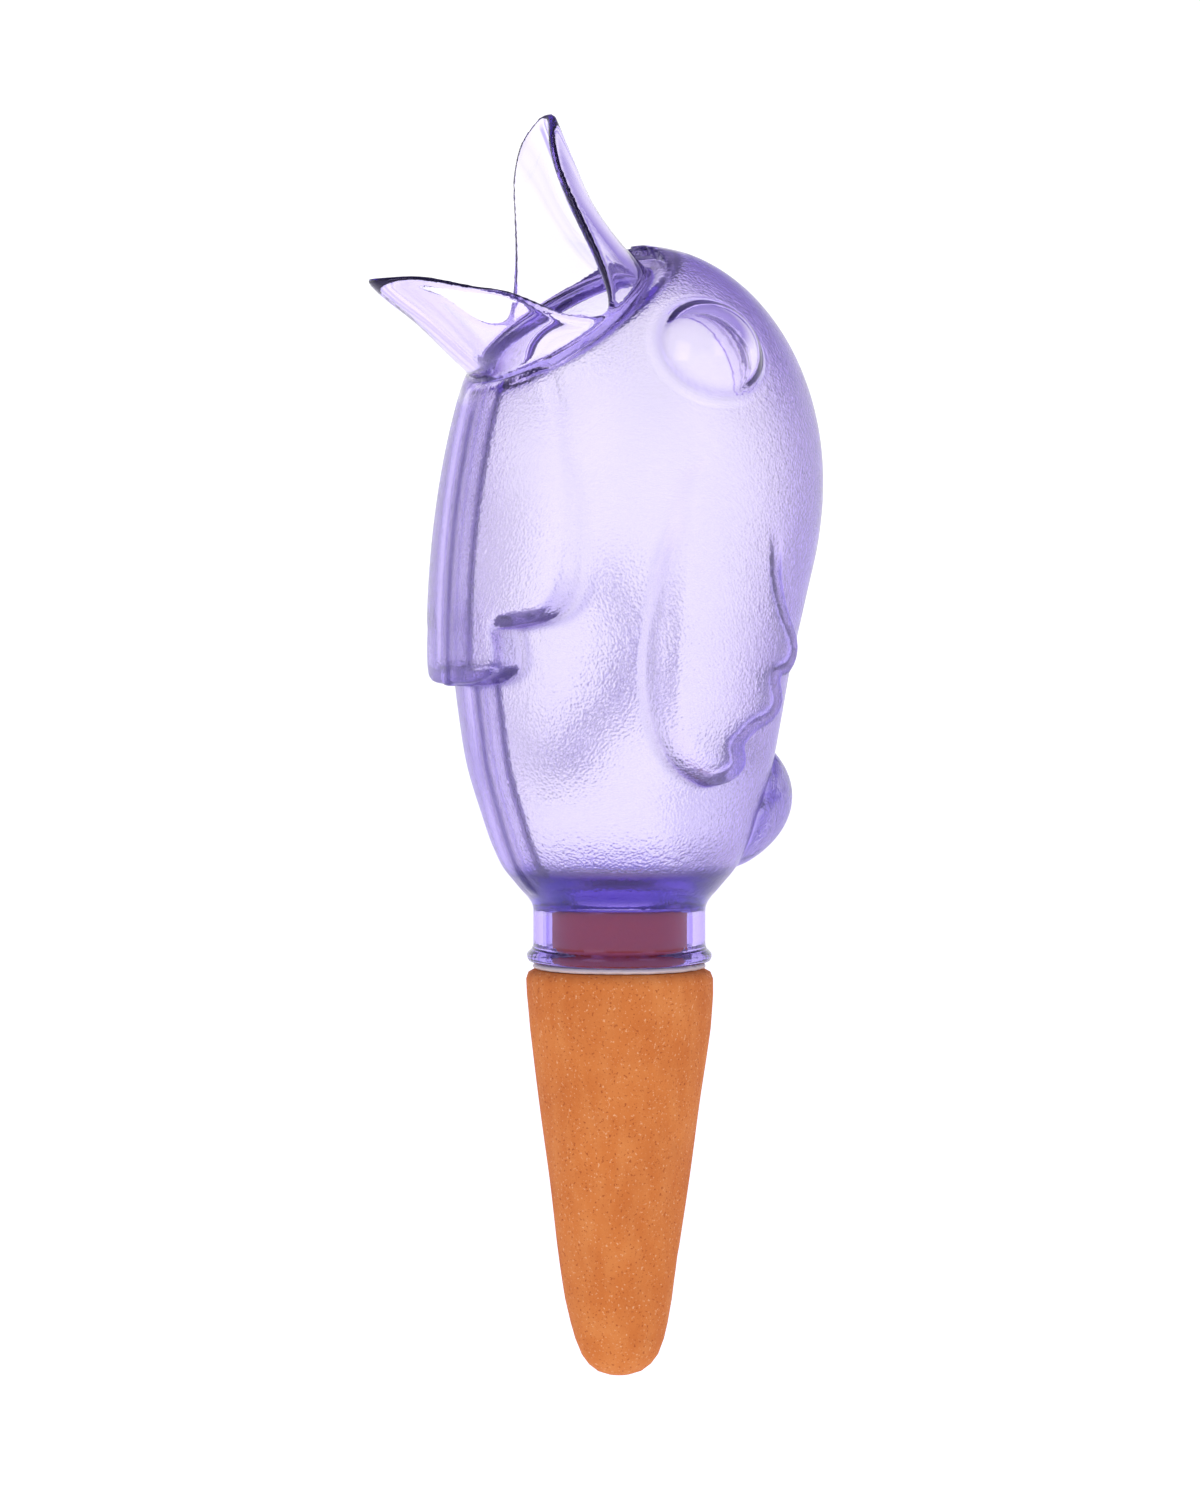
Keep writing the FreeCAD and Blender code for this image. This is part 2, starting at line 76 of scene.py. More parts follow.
print("a blend over 2 mm fills an inner corner by", float(-smooth_union(0.0, 0.0, 2.0)), "mm")

# %% [markdown]
# The bird's sections change with height, so they are kept in a table, like a carver's templates, and a
# curve with no kinks reads what lies between them. A field that is stretched to an oval no longer counts
# in millimetres, and is divided by its own slope to mend that.

# %% Templates and true distances
SLOPE_FLOOR = 1e-3


def smooth_table(at, rows, column):
    """A column of a table of heights, read in between on a curve with no kinks."""
    heights = np.array([row[0] for row in rows])
    values = np.array([row[column] for row in rows])
    slopes = np.gradient(values, heights)
    at = np.clip(at, heights[0], heights[-1])
    low = np.clip(np.searchsorted(heights, at) - 1, 0, len(heights) - 2)
    gap = heights[low + 1] - heights[low]
    t = (at - heights[low]) / gap
    return ((1 + 2 * t) * (1 - t) ** 2 * values[low] + t * (1 - t) ** 2 * gap * slopes[low]
            + t * t * (3 - 2 * t) * values[low + 1] + t * t * (t - 1) * gap * slopes[low + 1])


def unit_slope(field, axes):
    """Divide a field by its slope, so that it measures millimetres near its skin."""
    parts = np.gradient(field, *axes)
    slope = np.sqrt(sum(part * part for part in parts))
    return (field / np.maximum(slope, SLOPE_FLOOR)).astype(np.float32)


def ellipsoid(points, centre, radii):
    """Roughly the distance to an ellipsoid."""
    scaled = [(p - c) / r for p, c, r in zip(points, centre, radii)]
    far = np.sqrt(sum(s * s for s in scaled))
    slope = np.sqrt(sum((s / r) ** 2 for s, r in zip(scaled, radii)))
    return far * (far - 1.0) / np.maximum(slope, 1e-6)


SQUARES = ((0.0, 0.0), (1.0, 1.0), (2.0, 4.0), (3.0, 9.0))
print("the square of 1.5, read between templates", float(smooth_table(1.5, SQUARES, 1)))

# %% [markdown]
# A pad's outline runs through a few points. It is curved between them, except at a sharp feather tip. Its
# field says how far each place on a plane lies from the outline, and is less than zero inside.

# %% Outlines
CURVE_STEPS = 6


def outline_field(points, across, up):
    """Distance to a closed outline on a plane, less than zero inside."""
    across, up = np.meshgrid(across, up, indexing="ij")
    best = np.full(across.shape, 1e9)
    inside = np.zeros(across.shape, bool)
    for (ax, ay), (bx, by) in zip(points, points[1:] + points[:1]):
        ex, ey = bx - ax, by - ay
        t = np.clip(((across - ax) * ex + (up - ay) * ey) / (ex * ex + ey * ey + 1e-12), 0.0, 1.0)
        best = np.minimum(best, (across - ax - t * ex) ** 2 + (up - ay - t * ey) ** 2)
        crosses = (ay > up) != (by > up)
        inside ^= crosses & (across < ax + (up - ay) / (by - ay + 1e-12) * ex)
    return np.where(inside, -1.0, 1.0) * np.sqrt(best)


def rounded(points, sharp=()):
    """A closed outline through points, curved except at the sharp ones."""
    count = len(points)
    line = []
    for i in range(count):
        before, start, end, after = (Vector(points[(i + k) % count]) for k in (-1, 0, 1, 2))
        leave = (end - start) if i in sharp else (end - before) * 0.5
        arrive = (end - start) if (i + 1) % count in sharp else (after - start) * 0.5
        for step in range(CURVE_STEPS):
            t = step / CURVE_STEPS
            point = (start * (2 * t ** 3 - 3 * t * t + 1) + leave * (t ** 3 - 2 * t * t + t)
                     + end * (3 * t * t - 2 * t ** 3) + arrive * (t ** 3 - t * t))
            line.append(tuple(point))
    return line


def both_sides(half):
    """A half outline, closed by its mirror image."""
    return half + [(-x, z) for x, z in reversed(half[1:-1])]


print("a square drawn as an outline has", len(rounded([(0, 0), (1, 0), (1, 1), (0, 1)])), "points")

# %% [markdown]
# The fields are worked out on a grid with half a millimetre between its points, which is fine enough for a
# crisp feather step and takes a few seconds. It covers one side of the bird and a little beyond the
# mid-plane, because the other side is its mirror image. All lengths in the fields are in millimetres.

# %% The grid that the bird is drawn in
GRID_STEP = 0.5
LOW, HIGH = (-2.0, -46.0, -0.6), (33.0, 34.5, 134.0)
AXES = [np.arange(low, high, GRID_STEP, dtype=np.float32) for low, high in zip(LOW, HIGH)]
X, Y, Z = np.meshgrid(*AXES, indexing="ij")
SIDE = np.abs(X)
print("grid", X.shape)

# %% [markdown]
# The body is an egg that narrows to the neck. Its sections are ovals, a little wider than deep, and the
# head leans back. The table holds what a maker would cut as templates: height, half width, half depth and
# how far back the section's centre lies. Above the widest level it is a plain dome. The neck is a short
# tube with a rounded collar round its foot.

# %% Body, head and neck
WIDEST, HALF_DEPTH, HEAD_HEIGHT = 75.5, 28.3, 36.5
NECK_RADIUS, NECK_TOP, NECK_ROOT = 13.4, 10.6, 4.0
COLLAR_RADIUS, COLLAR_Z, COLLAR_ROUND, COLLAR_FILLET = 13.35, 2.0, 1.05, 0.6
BODY_TEMPLATES = (
    (8.5, 12.6, 12.6, 0.0), (10.6, 13.9, 13.9, 0.0), (13.1, 15.9, 16.0, 0.0), (15.6, 18.0, 18.0, 0.0),
    (18.5, 19.7, 19.4, 0.0), (24.3, 21.9, 21.4, 0.0), (31.5, 24.2, 23.5, 0.0), (38.7, 25.8, 24.7, 0.1),
    (46.0, 26.8, 25.8, 0.34), (57.4, 28.3, 27.4, 1.43), (66.8, 29.2, 28.2, 2.8), (72.0, 29.45, 28.3, 3.3),
    (75.5, 29.5, 28.3, 3.4),
)


def body_field():
    half_x, half_y, back = (smooth_table(AXES[2], BODY_TEMPLATES, column) for column in (1, 2, 3))
    rise = np.maximum(Z - WIDEST, 0.0) / HEAD_HEIGHT
    egg = np.sqrt((X / half_x) ** 2 + ((Y - back) / half_y) ** 2 + rise * rise) - 1.0
    return unit_slope(egg * HALF_DEPTH, AXES)


def neck_field():
    neck = np.maximum(radius - NECK_RADIUS, Z - NECK_TOP - NECK_ROOT)
    collar = np.sqrt(np.maximum(radius - COLLAR_RADIUS, 0.0) ** 2 + (Z - COLLAR_Z) ** 2) - COLLAR_ROUND
    return smooth_union(neck, collar, COLLAR_FILLET)


radius = np.sqrt(X * X + Y * Y)
body = body_field()
neck = neck_field()
print("grid points inside the body", int((body < 0).sum()), "and the neck", int((neck < 0).sum()))

# %% [markdown]
# Wings, bib and tail are raised pads. Each is an outline seen square on, kept inside a rounded outer face,
# and upwards every pad sinks into the body by itself. Light that runs down through the face of a step meets
# much plastic and comes out deep violet, so each pad also says where its step stands proud of the body: a
# line along which that deep violet is painted into the colour as shade.

# %% What the pads share
PAD_FILLET, EYE_FILLET = 0.5, 0.35
LINE_INSIDE, LINE_HALF, LINE_FADE = 0.2, 0.6, 7.0
PROUD_FROM, PROUD_FULL = 0.2, 1.0


def step_line(edge, face, low=None):
    """How near a point lies to a pad's step, from 0 to 1, which sets where shade is painted. Above low, the
    line fades out.
    """
    line = np.exp(-((edge + LINE_INSIDE) / LINE_HALF) ** 2) * ease(body - face, PROUD_FROM, PROUD_FULL)
    return line if low is None else line * (1.0 - ease(Z, low, low + LINE_FADE))


print("a step's line is", 2 * LINE_HALF, "mm wide")

# %% [markdown]
# A wing's feather tips end in crisp scallops at the rear, while its front and lower edge rolls over softly.
# So the radius of its edge changes from front to back, and its line of painted shade is faint in front.

# %% Wing
WING_OUTLINE = [
    (-3.6, 77.0), (-7.3, 66.0), (-9.3, 56.0), (-9.8, 46.5), (-8.3, 38.5), (-4.6, 32.3), (0.6, 29.3),
    (4.6, 29.9), (6.9, 32.4), (6.3, 35.3), (8.6, 37.3), (12.4, 39.0), (14.2, 41.8), (13.2, 45.4),
    (15.6, 46.2), (17.5, 48.6), (17.3, 51.6), (14.6, 56.0), (13.0, 61.0), (12.5, 70.0), (10.0, 79.0),
]
WING_NOTCHES = (9, 13)
WING_CENTRE, WING_RADII = (0.0, 0.0, 58.0), (30.25, 30.8, 68.0)
WING_INSIDE, WING_LINE_TOP = 14.0, 63.0
CRISP_EDGE, ROLLED_EDGE = 0.8, 2.0
ROLL_FROM, ROLL_LEAN, ROLL_WIDTH, ROLL_FADE = 30.0, 0.15, 7.0, 0.8


def wing_field():
    """The pad, its fillet on the body, and its step line, where shade is painted."""
    edge = outline_field(rounded(WING_OUTLINE, sharp=WING_NOTCHES), AXES[1], AXES[2])[None, :, :]
    face = ellipsoid((SIDE, Y, Z), WING_CENTRE, WING_RADII)
    front_roll = 1.0 - ease(Y + (Z - ROLL_FROM) * ROLL_LEAN, 0.0, ROLL_WIDTH)
    pad = smooth_overlap(edge, face, CRISP_EDGE + ROLLED_EDGE * front_roll)
    # painted shade: the step's line, later painted dark violet in the colour, is fainter on the front roll
    line = step_line(edge, face, WING_LINE_TOP) * (1.0 - ROLL_FADE * front_roll) * (SIDE > WING_INSIDE)
    return np.maximum(pad, WING_INSIDE - SIDE), PAD_FILLET + PAD_FILLET * front_roll, line


wing, wing_fillet, wing_shade_line = wing_field()
print("wing drawn with edges from", CRISP_EDGE, "to", CRISP_EDGE + ROLLED_EDGE, "mm")

# %% [markdown]
# The bib hangs down the breast and has a small notch at each side. The tail is a thick short fan low on
# the back. Both cross the mid-plane, so their outlines are drawn as a half and mirrored.

# %% Bib and tail
BIB_HALF = [
    (0.0, 44.4), (6.5, 44.6), (10.4, 46.0), (11.3, 49.2), (10.7, 52.8), (13.6, 53.3), (17.0, 54.3),
    (19.3, 57.2), (20.3, 62.0), (20.2, 70.0), (18.3, 79.0), (15.0, 88.0), (9.0, 96.0), (0.0, 98.0),
]
BIB_NOTCHES = (4, 22)
BIB_CENTRE, BIB_RADII = (0.0, 0.0, 50.0), (28.6, 30.2, 70.0)
BIB_REAR, BIB_EDGE, BIB_LINE_TOP = -8.0, 0.7, 56.0
TAIL_HALF = [
    (0.0, 14.5), (4.5, 15.2), (8.3, 17.4), (10.4, 20.0), (12.0, 23.0), (12.2, 25.6), (10.2, 27.4),
    (11.0, 29.6), (9.4, 31.6), (5.6, 34.2), (0.0, 35.4),
]
TAIL_NOTCHES = (6, 14)
TAIL_CENTRE, TAIL_RADII = (0.0, 7.6, 26.4), (15.0, 22.0, 13.6)
TAIL_FRONT, TAIL_EDGE = 6.0, 1.2


def bib_field():
    """The pad and its step line, where shade is painted."""
    edge = outline_field(rounded(both_sides(BIB_HALF), sharp=BIB_NOTCHES), AXES[0], AXES[2])[:, None, :]
    face = ellipsoid((X, Y, Z), BIB_CENTRE, BIB_RADII)
    pad = np.maximum(smooth_overlap(edge, face, BIB_EDGE), Y - BIB_REAR)
    return pad, step_line(edge, face, BIB_LINE_TOP) * (Y < BIB_REAR)


def tail_field():
    """The pad and its step line, where shade is painted."""
    edge = outline_field(rounded(both_sides(TAIL_HALF), sharp=TAIL_NOTCHES), AXES[0], AXES[2])[:, None, :]
    face = ellipsoid((X, Y, Z), TAIL_CENTRE, TAIL_RADII)
    pad = np.maximum(smooth_overlap(edge, face, TAIL_EDGE), TAIL_FRONT - Y)
    return pad, step_line(edge, face) * (Y > TAIL_FRONT)


bib, bib_shade_line = bib_field()
tail, tail_shade_line = tail_field()
print("grid points inside the bib", int((bib < 0).sum()), "and the tail", int((tail < 0).sum()))

# %% [markdown]
# The eyes are polished domes, each a ball that is sunk most of its way into the head. With them the pads
# are joined to the body, each with its own small fillet.

# %% Eyes, and all joined
EYE_CENTRE, EYE_RADIUS = (19.5, 3.0, 92.9), 9.7
eye = np.sqrt((SIDE - EYE_CENTRE[0]) ** 2 + (Y - EYE_CENTRE[1]) ** 2 + (Z - EYE_CENTRE[2]) ** 2) - EYE_RADIUS
skin = smooth_union(body, wing, wing_fillet)
skin = smooth_union(skin, bib, PAD_FILLET)
skin = smooth_union(skin, tail, PAD_FILLET)
skin = smooth_union(skin, eye, EYE_FILLET)
print("pads and eyes add", int((skin < 0).sum() - (body < 0).sum()), "grid points to the body")

# %% [markdown]
# The beak is a funnel that stands on a flat across the sloping front of the head. It is a tube that flares
# as it leaves the flat, and the open mouth is a wedge sawn out of it from side to side. All of this is
# easiest in the flat's own directions: back (up the flat) and out (square to it).

# %% The beak's own directions
ROOT_SLOPE = math.radians(35.4)
ROOT_Y, ROOT_Z = -10.8, 99.24
dy, dz = Y - ROOT_Y, Z - ROOT_Z
BACK = dy * math.cos(ROOT_SLOPE) + dz * math.sin(ROOT_SLOPE)
OUT = dz * math.cos(ROOT_SLOPE) - dy * math.sin(ROOT_SLOPE)
print("the grid reaches", round(float(OUT.max()), 1), "mm out from the flat")

# %% [markdown]
# The table gives the tube's sections: how far out, where the middle lies, half its length and half its
# width. The mouth's outline is seen from the side. The two tips are where it meets the tube's front and
# back, and its far corners lie well off the part.

# %% Funnel and mouth
BEAK_TEMPLATES = (
    (-6.0, 0.4, 15.4, 17.0), (0.0, 0.3, 15.5, 17.5), (5.5, -1.0, 15.8, 16.0), (12.9, -2.2, 16.9, 13.6),
    (20.6, -2.9, 19.3, 10.8), (27.5, -2.9, 20.8, 8.0), (33.0, -3.2, 21.6, 6.0),
)
BEAK_WALL, BEAK_HALF, BEAK_SINK = 1.8, 16.0, 1.5
MOUTH_OUTLINE = [
    (-0.25, 1.4), (2.5, 3.1), (5.25, 8.5), (7.8, 15.3), (10.1, 21.0), (13.0, 25.0), (17.0, 27.5),
    (24.0, 22.5), (44.0, 64.0), (-44.0, 64.0), (-34.0, 24.0), (-22.5, 23.6), (-17.9, 20.6),
    (-13.0, 15.4), (-9.3, 11.6), (-4.7, 4.3),
]
MOUTH_CORNERS = (6, 7, 8, 9, 10, 11)
MOUTH_STEP, MOUTH_BACKS, MOUTH_OUTS = 0.25, (-50.0, 50.0), (-12.0, 62.0)
FLAT_REACH, NO_CUT = 3.0, -5.0
FLAT_EDGE, MOUTH_EDGE, ROOT_FILLET = 0.3, 0.9, 0.8


def tube_field():
    """The beak before the mouth is sawn out."""
    centre, half_back, half_side = (smooth_table(OUT, BEAK_TEMPLATES, column) for column in (1, 2, 3))
    oval = np.sqrt((X / half_side) ** 2 + ((BACK - centre) / half_back) ** 2) - 1.0
    return unit_slope(oval * BEAK_HALF, AXES)


def mouth_field():
    """The wedge, drawn on a finer plane of its own and read off at each grid point."""
    backs, outs = np.arange(*MOUTH_BACKS, MOUTH_STEP), np.arange(*MOUTH_OUTS, MOUTH_STEP)
    table = outline_field(rounded(MOUTH_OUTLINE, sharp=MOUTH_CORNERS), backs, outs)
    i = np.clip((BACK[0] - backs[0]) / MOUTH_STEP, 0, len(backs) - 2.001)
    j = np.clip((OUT[0] - outs[0]) / MOUTH_STEP, 0, len(outs) - 2.001)
    low_i, low_j = i.astype(int), j.astype(int)
    s, t = i - low_i, j - low_j
    near = table[low_i, low_j] * (1 - s) + table[low_i + 1, low_j] * s
    far = table[low_i, low_j + 1] * (1 - s) + table[low_i + 1, low_j + 1] * s
    return (near * (1 - t) + far * t)[None, :, :].astype(np.float32)


tube = tube_field()
mouth = mouth_field()
flat_cut = np.where(tube < FLAT_REACH, OUT, NO_CUT).astype(np.float32)
head_cut = smooth_overlap(skin, flat_cut, FLAT_EDGE)
beak_solid = np.maximum(tube, -OUT - BEAK_SINK)
outer = smooth_union(head_cut, smooth_overlap(beak_solid, -mouth, MOUTH_EDGE), ROOT_FILLET)
print("the sawn mouth takes", int(((beak_solid < 0) & (mouth < 0)).sum()), "grid points off the funnel")

# %% [markdown]
# The halves are welded on the mid-plane. Outside, the weld shows as a low flat bead, and inside each half
# has a flange beside it. The bead fades out towards the bird's back, where the body already fills the
# depth of the CAD model.

# %% Weld bead and flange
BEAD_HALF, BEAD_HEIGHT, BEAD_SOFT = 1.1, 0.3, 0.35
FLANGE_HALF, FLANGE_DEPTH, FLANGE_CREST, FLANGE_FOOT = 4.6, 0.9, 1.2, 0.8
BEAD_FROM_NECK, BEAD_TO_BEAK, BEAD_TO_BACK = (11.5, 13.0), (-3.0, -1.0), (16.0, 24.0)

on_body = ease(Z, *BEAD_FROM_NECK) * (1.0 - ease(OUT, *BEAD_TO_BEAK)) * (1.0 - ease(Y, *BEAD_TO_BACK))
bead = BEAD_HEIGHT * (1.0 - ease(SIDE, BEAD_HALF - BEAD_SOFT, BEAD_HALF + BEAD_SOFT)) * on_body
flange = FLANGE_DEPTH * (1.0 - ease(SIDE, FLANGE_HALF - FLANGE_CREST, FLANGE_HALF + FLANGE_FOOT))
print("bead", round(float(bead.max()), 2), "mm high, flange", round(float(flange.max()), 2), "mm deep")

# %% [markdown]
# The hollow follows the skin at an even wall, down to a thick floor over the neck that stops the clay stub,
# and up to a flat plate under the beak with a round way down through it. Its inner corners are rounded as
# in the mould. The foot of the collar is cut off flat.

# %% Walls, floor and plate
WALL = 1.9
FLOOR, FLOOR_FILLET = 15.4, 2.0
THROAT, THROAT_RUN, THROAT_FILLET = 8.0, 1.0, 0.8
BORE, STOP = 11.4, 10.2
PLATE, PLATE_FILLET = 1.9, 1.0
GULLET, GULLET_MIDDLE, GULLET_HALF, GULLET_FILLET = 13.4, 1.5, 3.5, 0.6
FUNNEL_FILLET, RIM_EDGE, BREAK_EDGE = 0.8, 0.8, 0.3
NECK_FILLET, COLLAR_FOOT = 0.5, 0.95

hollow = smooth_overlap(skin + WALL + flange, FLOOR - Z, FLOOR_FILLET)
hollow = smooth_overlap(hollow, OUT + PLATE, PLATE_FILLET)
hollow = smooth_union(hollow, np.maximum(radius - THROAT, Z - FLOOR - THROAT_RUN), THROAT_FILLET)
hollow = np.minimum(hollow, np.maximum(radius - BORE, Z - STOP))
gullet = np.maximum(np.sqrt(X * X + BACK * BACK) - GULLET, np.abs(OUT + GULLET_MIDDLE) - GULLET_HALF)
hollow = smooth_union(hollow, gullet, GULLET_FILLET)
funnel = smooth_overlap(tube + BEAK_WALL, -OUT, FUNNEL_FILLET)
outer = smooth_union(outer - bead, neck, NECK_FILLET)
outer = np.maximum(outer, COLLAR_FOOT - Z)
shell = smooth_overlap(smooth_overlap(outer, -funnel, RIM_EDGE), -hollow, BREAK_EDGE).astype(np.float32)
plastic = float((shell[X > 0] < 0).sum()) * (GRID_STEP / 10.0) ** 3
print("plastic in one half, about", round(plastic, 1), "cubic centimetres")

# %% [markdown]
# Tinted plastic looks deepest where light runs along it: down the face of a step, through the thick floor,
# along the plate under the beak. That darkening is painted into the colour as shade: a second field says how
# deep the painted shade is at each place, from 0 to 1, and a third where the weld's edges are painted as a
# pair of fine dark lines of shade. A band is full between its two middle numbers.

# %% Where the painted shade is deep
WING_SHADE, BIB_SHADE, TAIL_LINE_SHADE, TAIL_SHADE, EYE_SHADE = 0.9, 0.5, 0.6, 0.4, 0.5
NECK_SHADE, FLOOR_SHADE, PLATE_SHADE, COLLAR_SHADE = 0.22, 0.9, 0.75, 0.5
RIDGE_SHADE, KEEL_SHADE, SEAM_SHADE = 0.75, 0.5, 0.55
NECK_BAND, FLOOR_BAND = (3.2, 4.0, 10.0, 10.8), (10.4, 11.2, 14.9, 16.0)
PLATE_BAND, BEAK_BAND = (-2.6, -1.6, -0.1, 0.5), (0.3, 1.5, 25.5, 27.0)
RIDGE_FROM, KEEL_TO = (2.0, 6.0), (-14.0, -10.0)
TAIL_SKIN, TAIL_REAR, TUBE_SKIN = (0.0, 0.8), (20.0, 24.0), (-1.0, 0.2)
EYE_RING, EYE_SKIN = 0.5, 0.8
COLLAR_OUT, COLLAR_UNDER = (13.3, 13.9), (3.0, 3.6)


def band(value, start, full, fade, end):
    return ease(value, start, full) * (1.0 - ease(value, fade, end))


# painted shade: the steps, the thick tail, the crease round each eye, the neck, the floor, the plate and the
# collar's edge are darkened to violet in the colour
pad_line_shade = np.maximum(np.maximum(WING_SHADE * wing_shade_line, BIB_SHADE * bib_shade_line), TAIL_LINE_SHADE * tail_shade_line)
thick_tail_shade = TAIL_SHADE * (1.0 - ease(tail, *TAIL_SKIN)) * ease(Y, *TAIL_REAR)
eye_crease_shade = EYE_SHADE * np.exp(-(eye / EYE_RING) ** 2) * np.exp(-(body / EYE_SKIN) ** 2)
neck_wall_shade = NECK_SHADE * band(Z, *NECK_BAND)
thick_floor_shade = FLOOR_SHADE * band(Z, *FLOOR_BAND)
plate = PLATE_SHADE * band(OUT, *PLATE_BAND) * (1.0 - ease(tube, *TUBE_SKIN))
collar_edge_shade = COLLAR_SHADE * ease(radius, *COLLAR_OUT) * (1.0 - ease(Z, *COLLAR_UNDER))
painted_shade_depth = pad_line_shade
for place in (thick_tail_shade, eye_crease_shade, neck_wall_shade, thick_floor_shade, plate, collar_edge_shade):
    painted_shade_depth = np.maximum(painted_shade_depth, place)
painted_shade_depth = painted_shade_depth.astype(np.float32)

# painted shade: dark lines along the weld on the body's front and along the beak's ridge and keel
on_beak = band(OUT, *BEAK_BAND)
ridge = RIDGE_SHADE * on_beak * ease(BACK, *RIDGE_FROM)
keel = KEEL_SHADE * on_beak * (1.0 - ease(BACK, *KEEL_TO))
painted_weld_shade = np.maximum(np.maximum(SEAM_SHADE * on_body * (Y < 0.0), ridge), keel).astype(np.float32)
print("deepest tint", round(float(painted_shade_depth.max()), 2), "and on the weld", round(float(painted_weld_shade.max()), 2))

# %% [markdown]
# A surface net turns the field into a mesh. It sets one point in every grid cell that the skin passes
# through, in the middle of the places where the skin crosses the cell's edges. It gives even four-sided
# faces, which refract cleanly, where marching cubes would leave slivers.

# %% Points of the net


def net_points(field):
    """One point for each cell that the skin passes through, in grid steps, and the cells' numbers."""
    cells = tuple(n - 1 for n in field.shape)
    total, count = np.zeros(cells + (3,), np.float32), np.zeros(cells, np.float32)
    for axis in range(3):
        others = [other for other in range(3) if other != axis]
        for first in (0, 1):
            for second in (0, 1):
                shift = [0, 0, 0]
                shift[others[0]], shift[others[1]] = first, second
                start = tuple(slice(s, s + n) for s, n in zip(shift, cells))
                shift[axis] = 1
                end = tuple(slice(s, s + n) for s, n in zip(shift, cells))
                a, b = field[start], field[end]
                crossed = (a < 0) != (b < 0)
                share = np.where(crossed, a / np.where(crossed, a - b, 1.0), 0.0)
                total[..., axis] += share
                total[..., others[0]] += crossed * first
                total[..., others[1]] += crossed * second
                count += crossed
    used = count > 0
    number = np.full(cells, -1, np.int64)
    number[used] = np.arange(used.sum())
    corner = np.stack(np.nonzero(used), axis=1)
    return corner + total[used] / count[used][:, None], number


net, cell_number = net_points(shell)
print("the net has", len(net), "points")

# %% [markdown]
# The net then gets one face across every grid line that the skin cuts. It joins the points of the four
# cells round that line, and its side that looks out is the one where the field is above zero.

# %% Faces of the net
RING_OF_CELLS = ((-1, -1), (0, -1), (0, 0), (-1, 0))


def net_faces(field, number):
    """One face across every grid line that the skin cuts."""
    faces = []
    for axis in range(3):
        one, two = [(1, 2), (2, 0), (0, 1)][axis]
        inner = [slice(1, -1)] * 3
        inner[axis] = slice(0, -1)
        after = list(inner)
        after[axis] = slice(1, None)
        a, b = field[tuple(inner)] < 0, field[tuple(after)] < 0
        place = np.stack(np.nonzero(a != b), axis=1)
        going_in = b[tuple(place.T)]
        place[:, one] += 1
        place[:, two] += 1
        ring = []
        for step_one, step_two in RING_OF_CELLS:
            cell = place.copy()
            cell[:, one] += step_one
            cell[:, two] += step_two
            ring.append(number[tuple(cell.T)])
        quad = np.stack(ring, axis=1)
        quad[going_in] = quad[going_in][:, ::-1]
        faces.append(quad)
    return np.concatenate(faces)


quads = net_faces(shell, cell_number)
print("and", len(quads), "faces")

# %% [markdown]
# Points in the middle of their cells lie only near the skin, and would look like a soft version of it. So
# each one is drawn onto the skin, a few times over, along the field's slope.

# %% Draw the net onto the skin
ROUNDS, REACH, FURTHEST, FLATTEST = 3, 0.5, 0.3, 0.05


def sample(field, points):
    """Read a field between grid points. Points are in grid steps."""
    low = np.clip(np.floor(points).astype(int), 0, np.array(field.shape) - 2)
    share = points - low
    value = 0.0
    for corner in range(8):
        bits = [(corner >> axis) & 1 for axis in range(3)]
        weight = np.prod([share[:, axis] if bit else 1 - share[:, axis]
                          for axis, bit in enumerate(bits)], axis=0)
        value = value + weight * field[low[:, 0] + bits[0], low[:, 1] + bits[1], low[:, 2] + bits[2]]
    return value


def drawn_on(field, points):
    """The points, moved onto the field's skin."""
    reach = np.eye(3) * REACH
    for _ in range(ROUNDS):
        value = sample(field, points)
        slope = np.stack([sample(field, points + step) - sample(field, points - step)
                          for step in reach], axis=1)
        steepness = np.maximum((slope ** 2).sum(axis=1), FLATTEST)[:, None]
        points = points + np.clip(-value[:, None] * slope / steepness, -FURTHEST, FURTHEST)
    return points


net = drawn_on(shell, net)
left_over = float(np.quantile(np.abs(sample(shell, net)), 0.95))
print("95 in 100 points lie within", round(left_over, 4), "mm of the skin")

# %% [markdown]
# Each half is cut flat on the mid-plane and closed there, as the mould leaves it. The two flats overlap by
# a fiftieth of a millimetre: a gap of air would mirror light inside the wall, and a weld doesn't. The
# depths of painted shade go along as numbers on the points, for the material to read.

# %% The two shells
WELD_OVERLAP = 0.01
SHARP_EDGE = math.radians(62)


def half_shell(name, side):
    mesh = bpy.data.meshes.new(name)
    mesh.from_pydata(((np.array(LOW) + net * GRID_STEP) * MM).tolist(), [], quads.tolist())
    work = bmesh.new()
    work.from_mesh(mesh)
    everything = work.verts[:] + work.edges[:] + work.faces[:]
    cut = bmesh.ops.bisect_plane(work, geom=everything, plane_co=(-WELD_OVERLAP * MM, 0, 0),
                                 plane_no=(-1, 0, 0), clear_outer=True)
    rim = [edge for edge in cut["geom_cut"] if isinstance(edge, bmesh.types.BMEdge)]
    bmesh.ops.triangle_fill(work, edges=rim, use_beauty=True, normal=(-1, 0, 0))
    if side < 0:
        bmesh.ops.scale(work, vec=(-1, 1, 1), verts=work.verts[:])
    bmesh.ops.recalc_face_normals(work, faces=work.faces[:])
    work.to_mesh(mesh)
    work.free()
    mesh.shade_smooth()
    mesh.set_sharp_from_angle(angle=SHARP_EDGE)
    piece = bpy.data.objects.new(name, mesh)
    bpy.context.scene.collection.objects.link(piece)
    print(name, len(mesh.vertices), "points", len(mesh.polygons), "faces")
    return piece


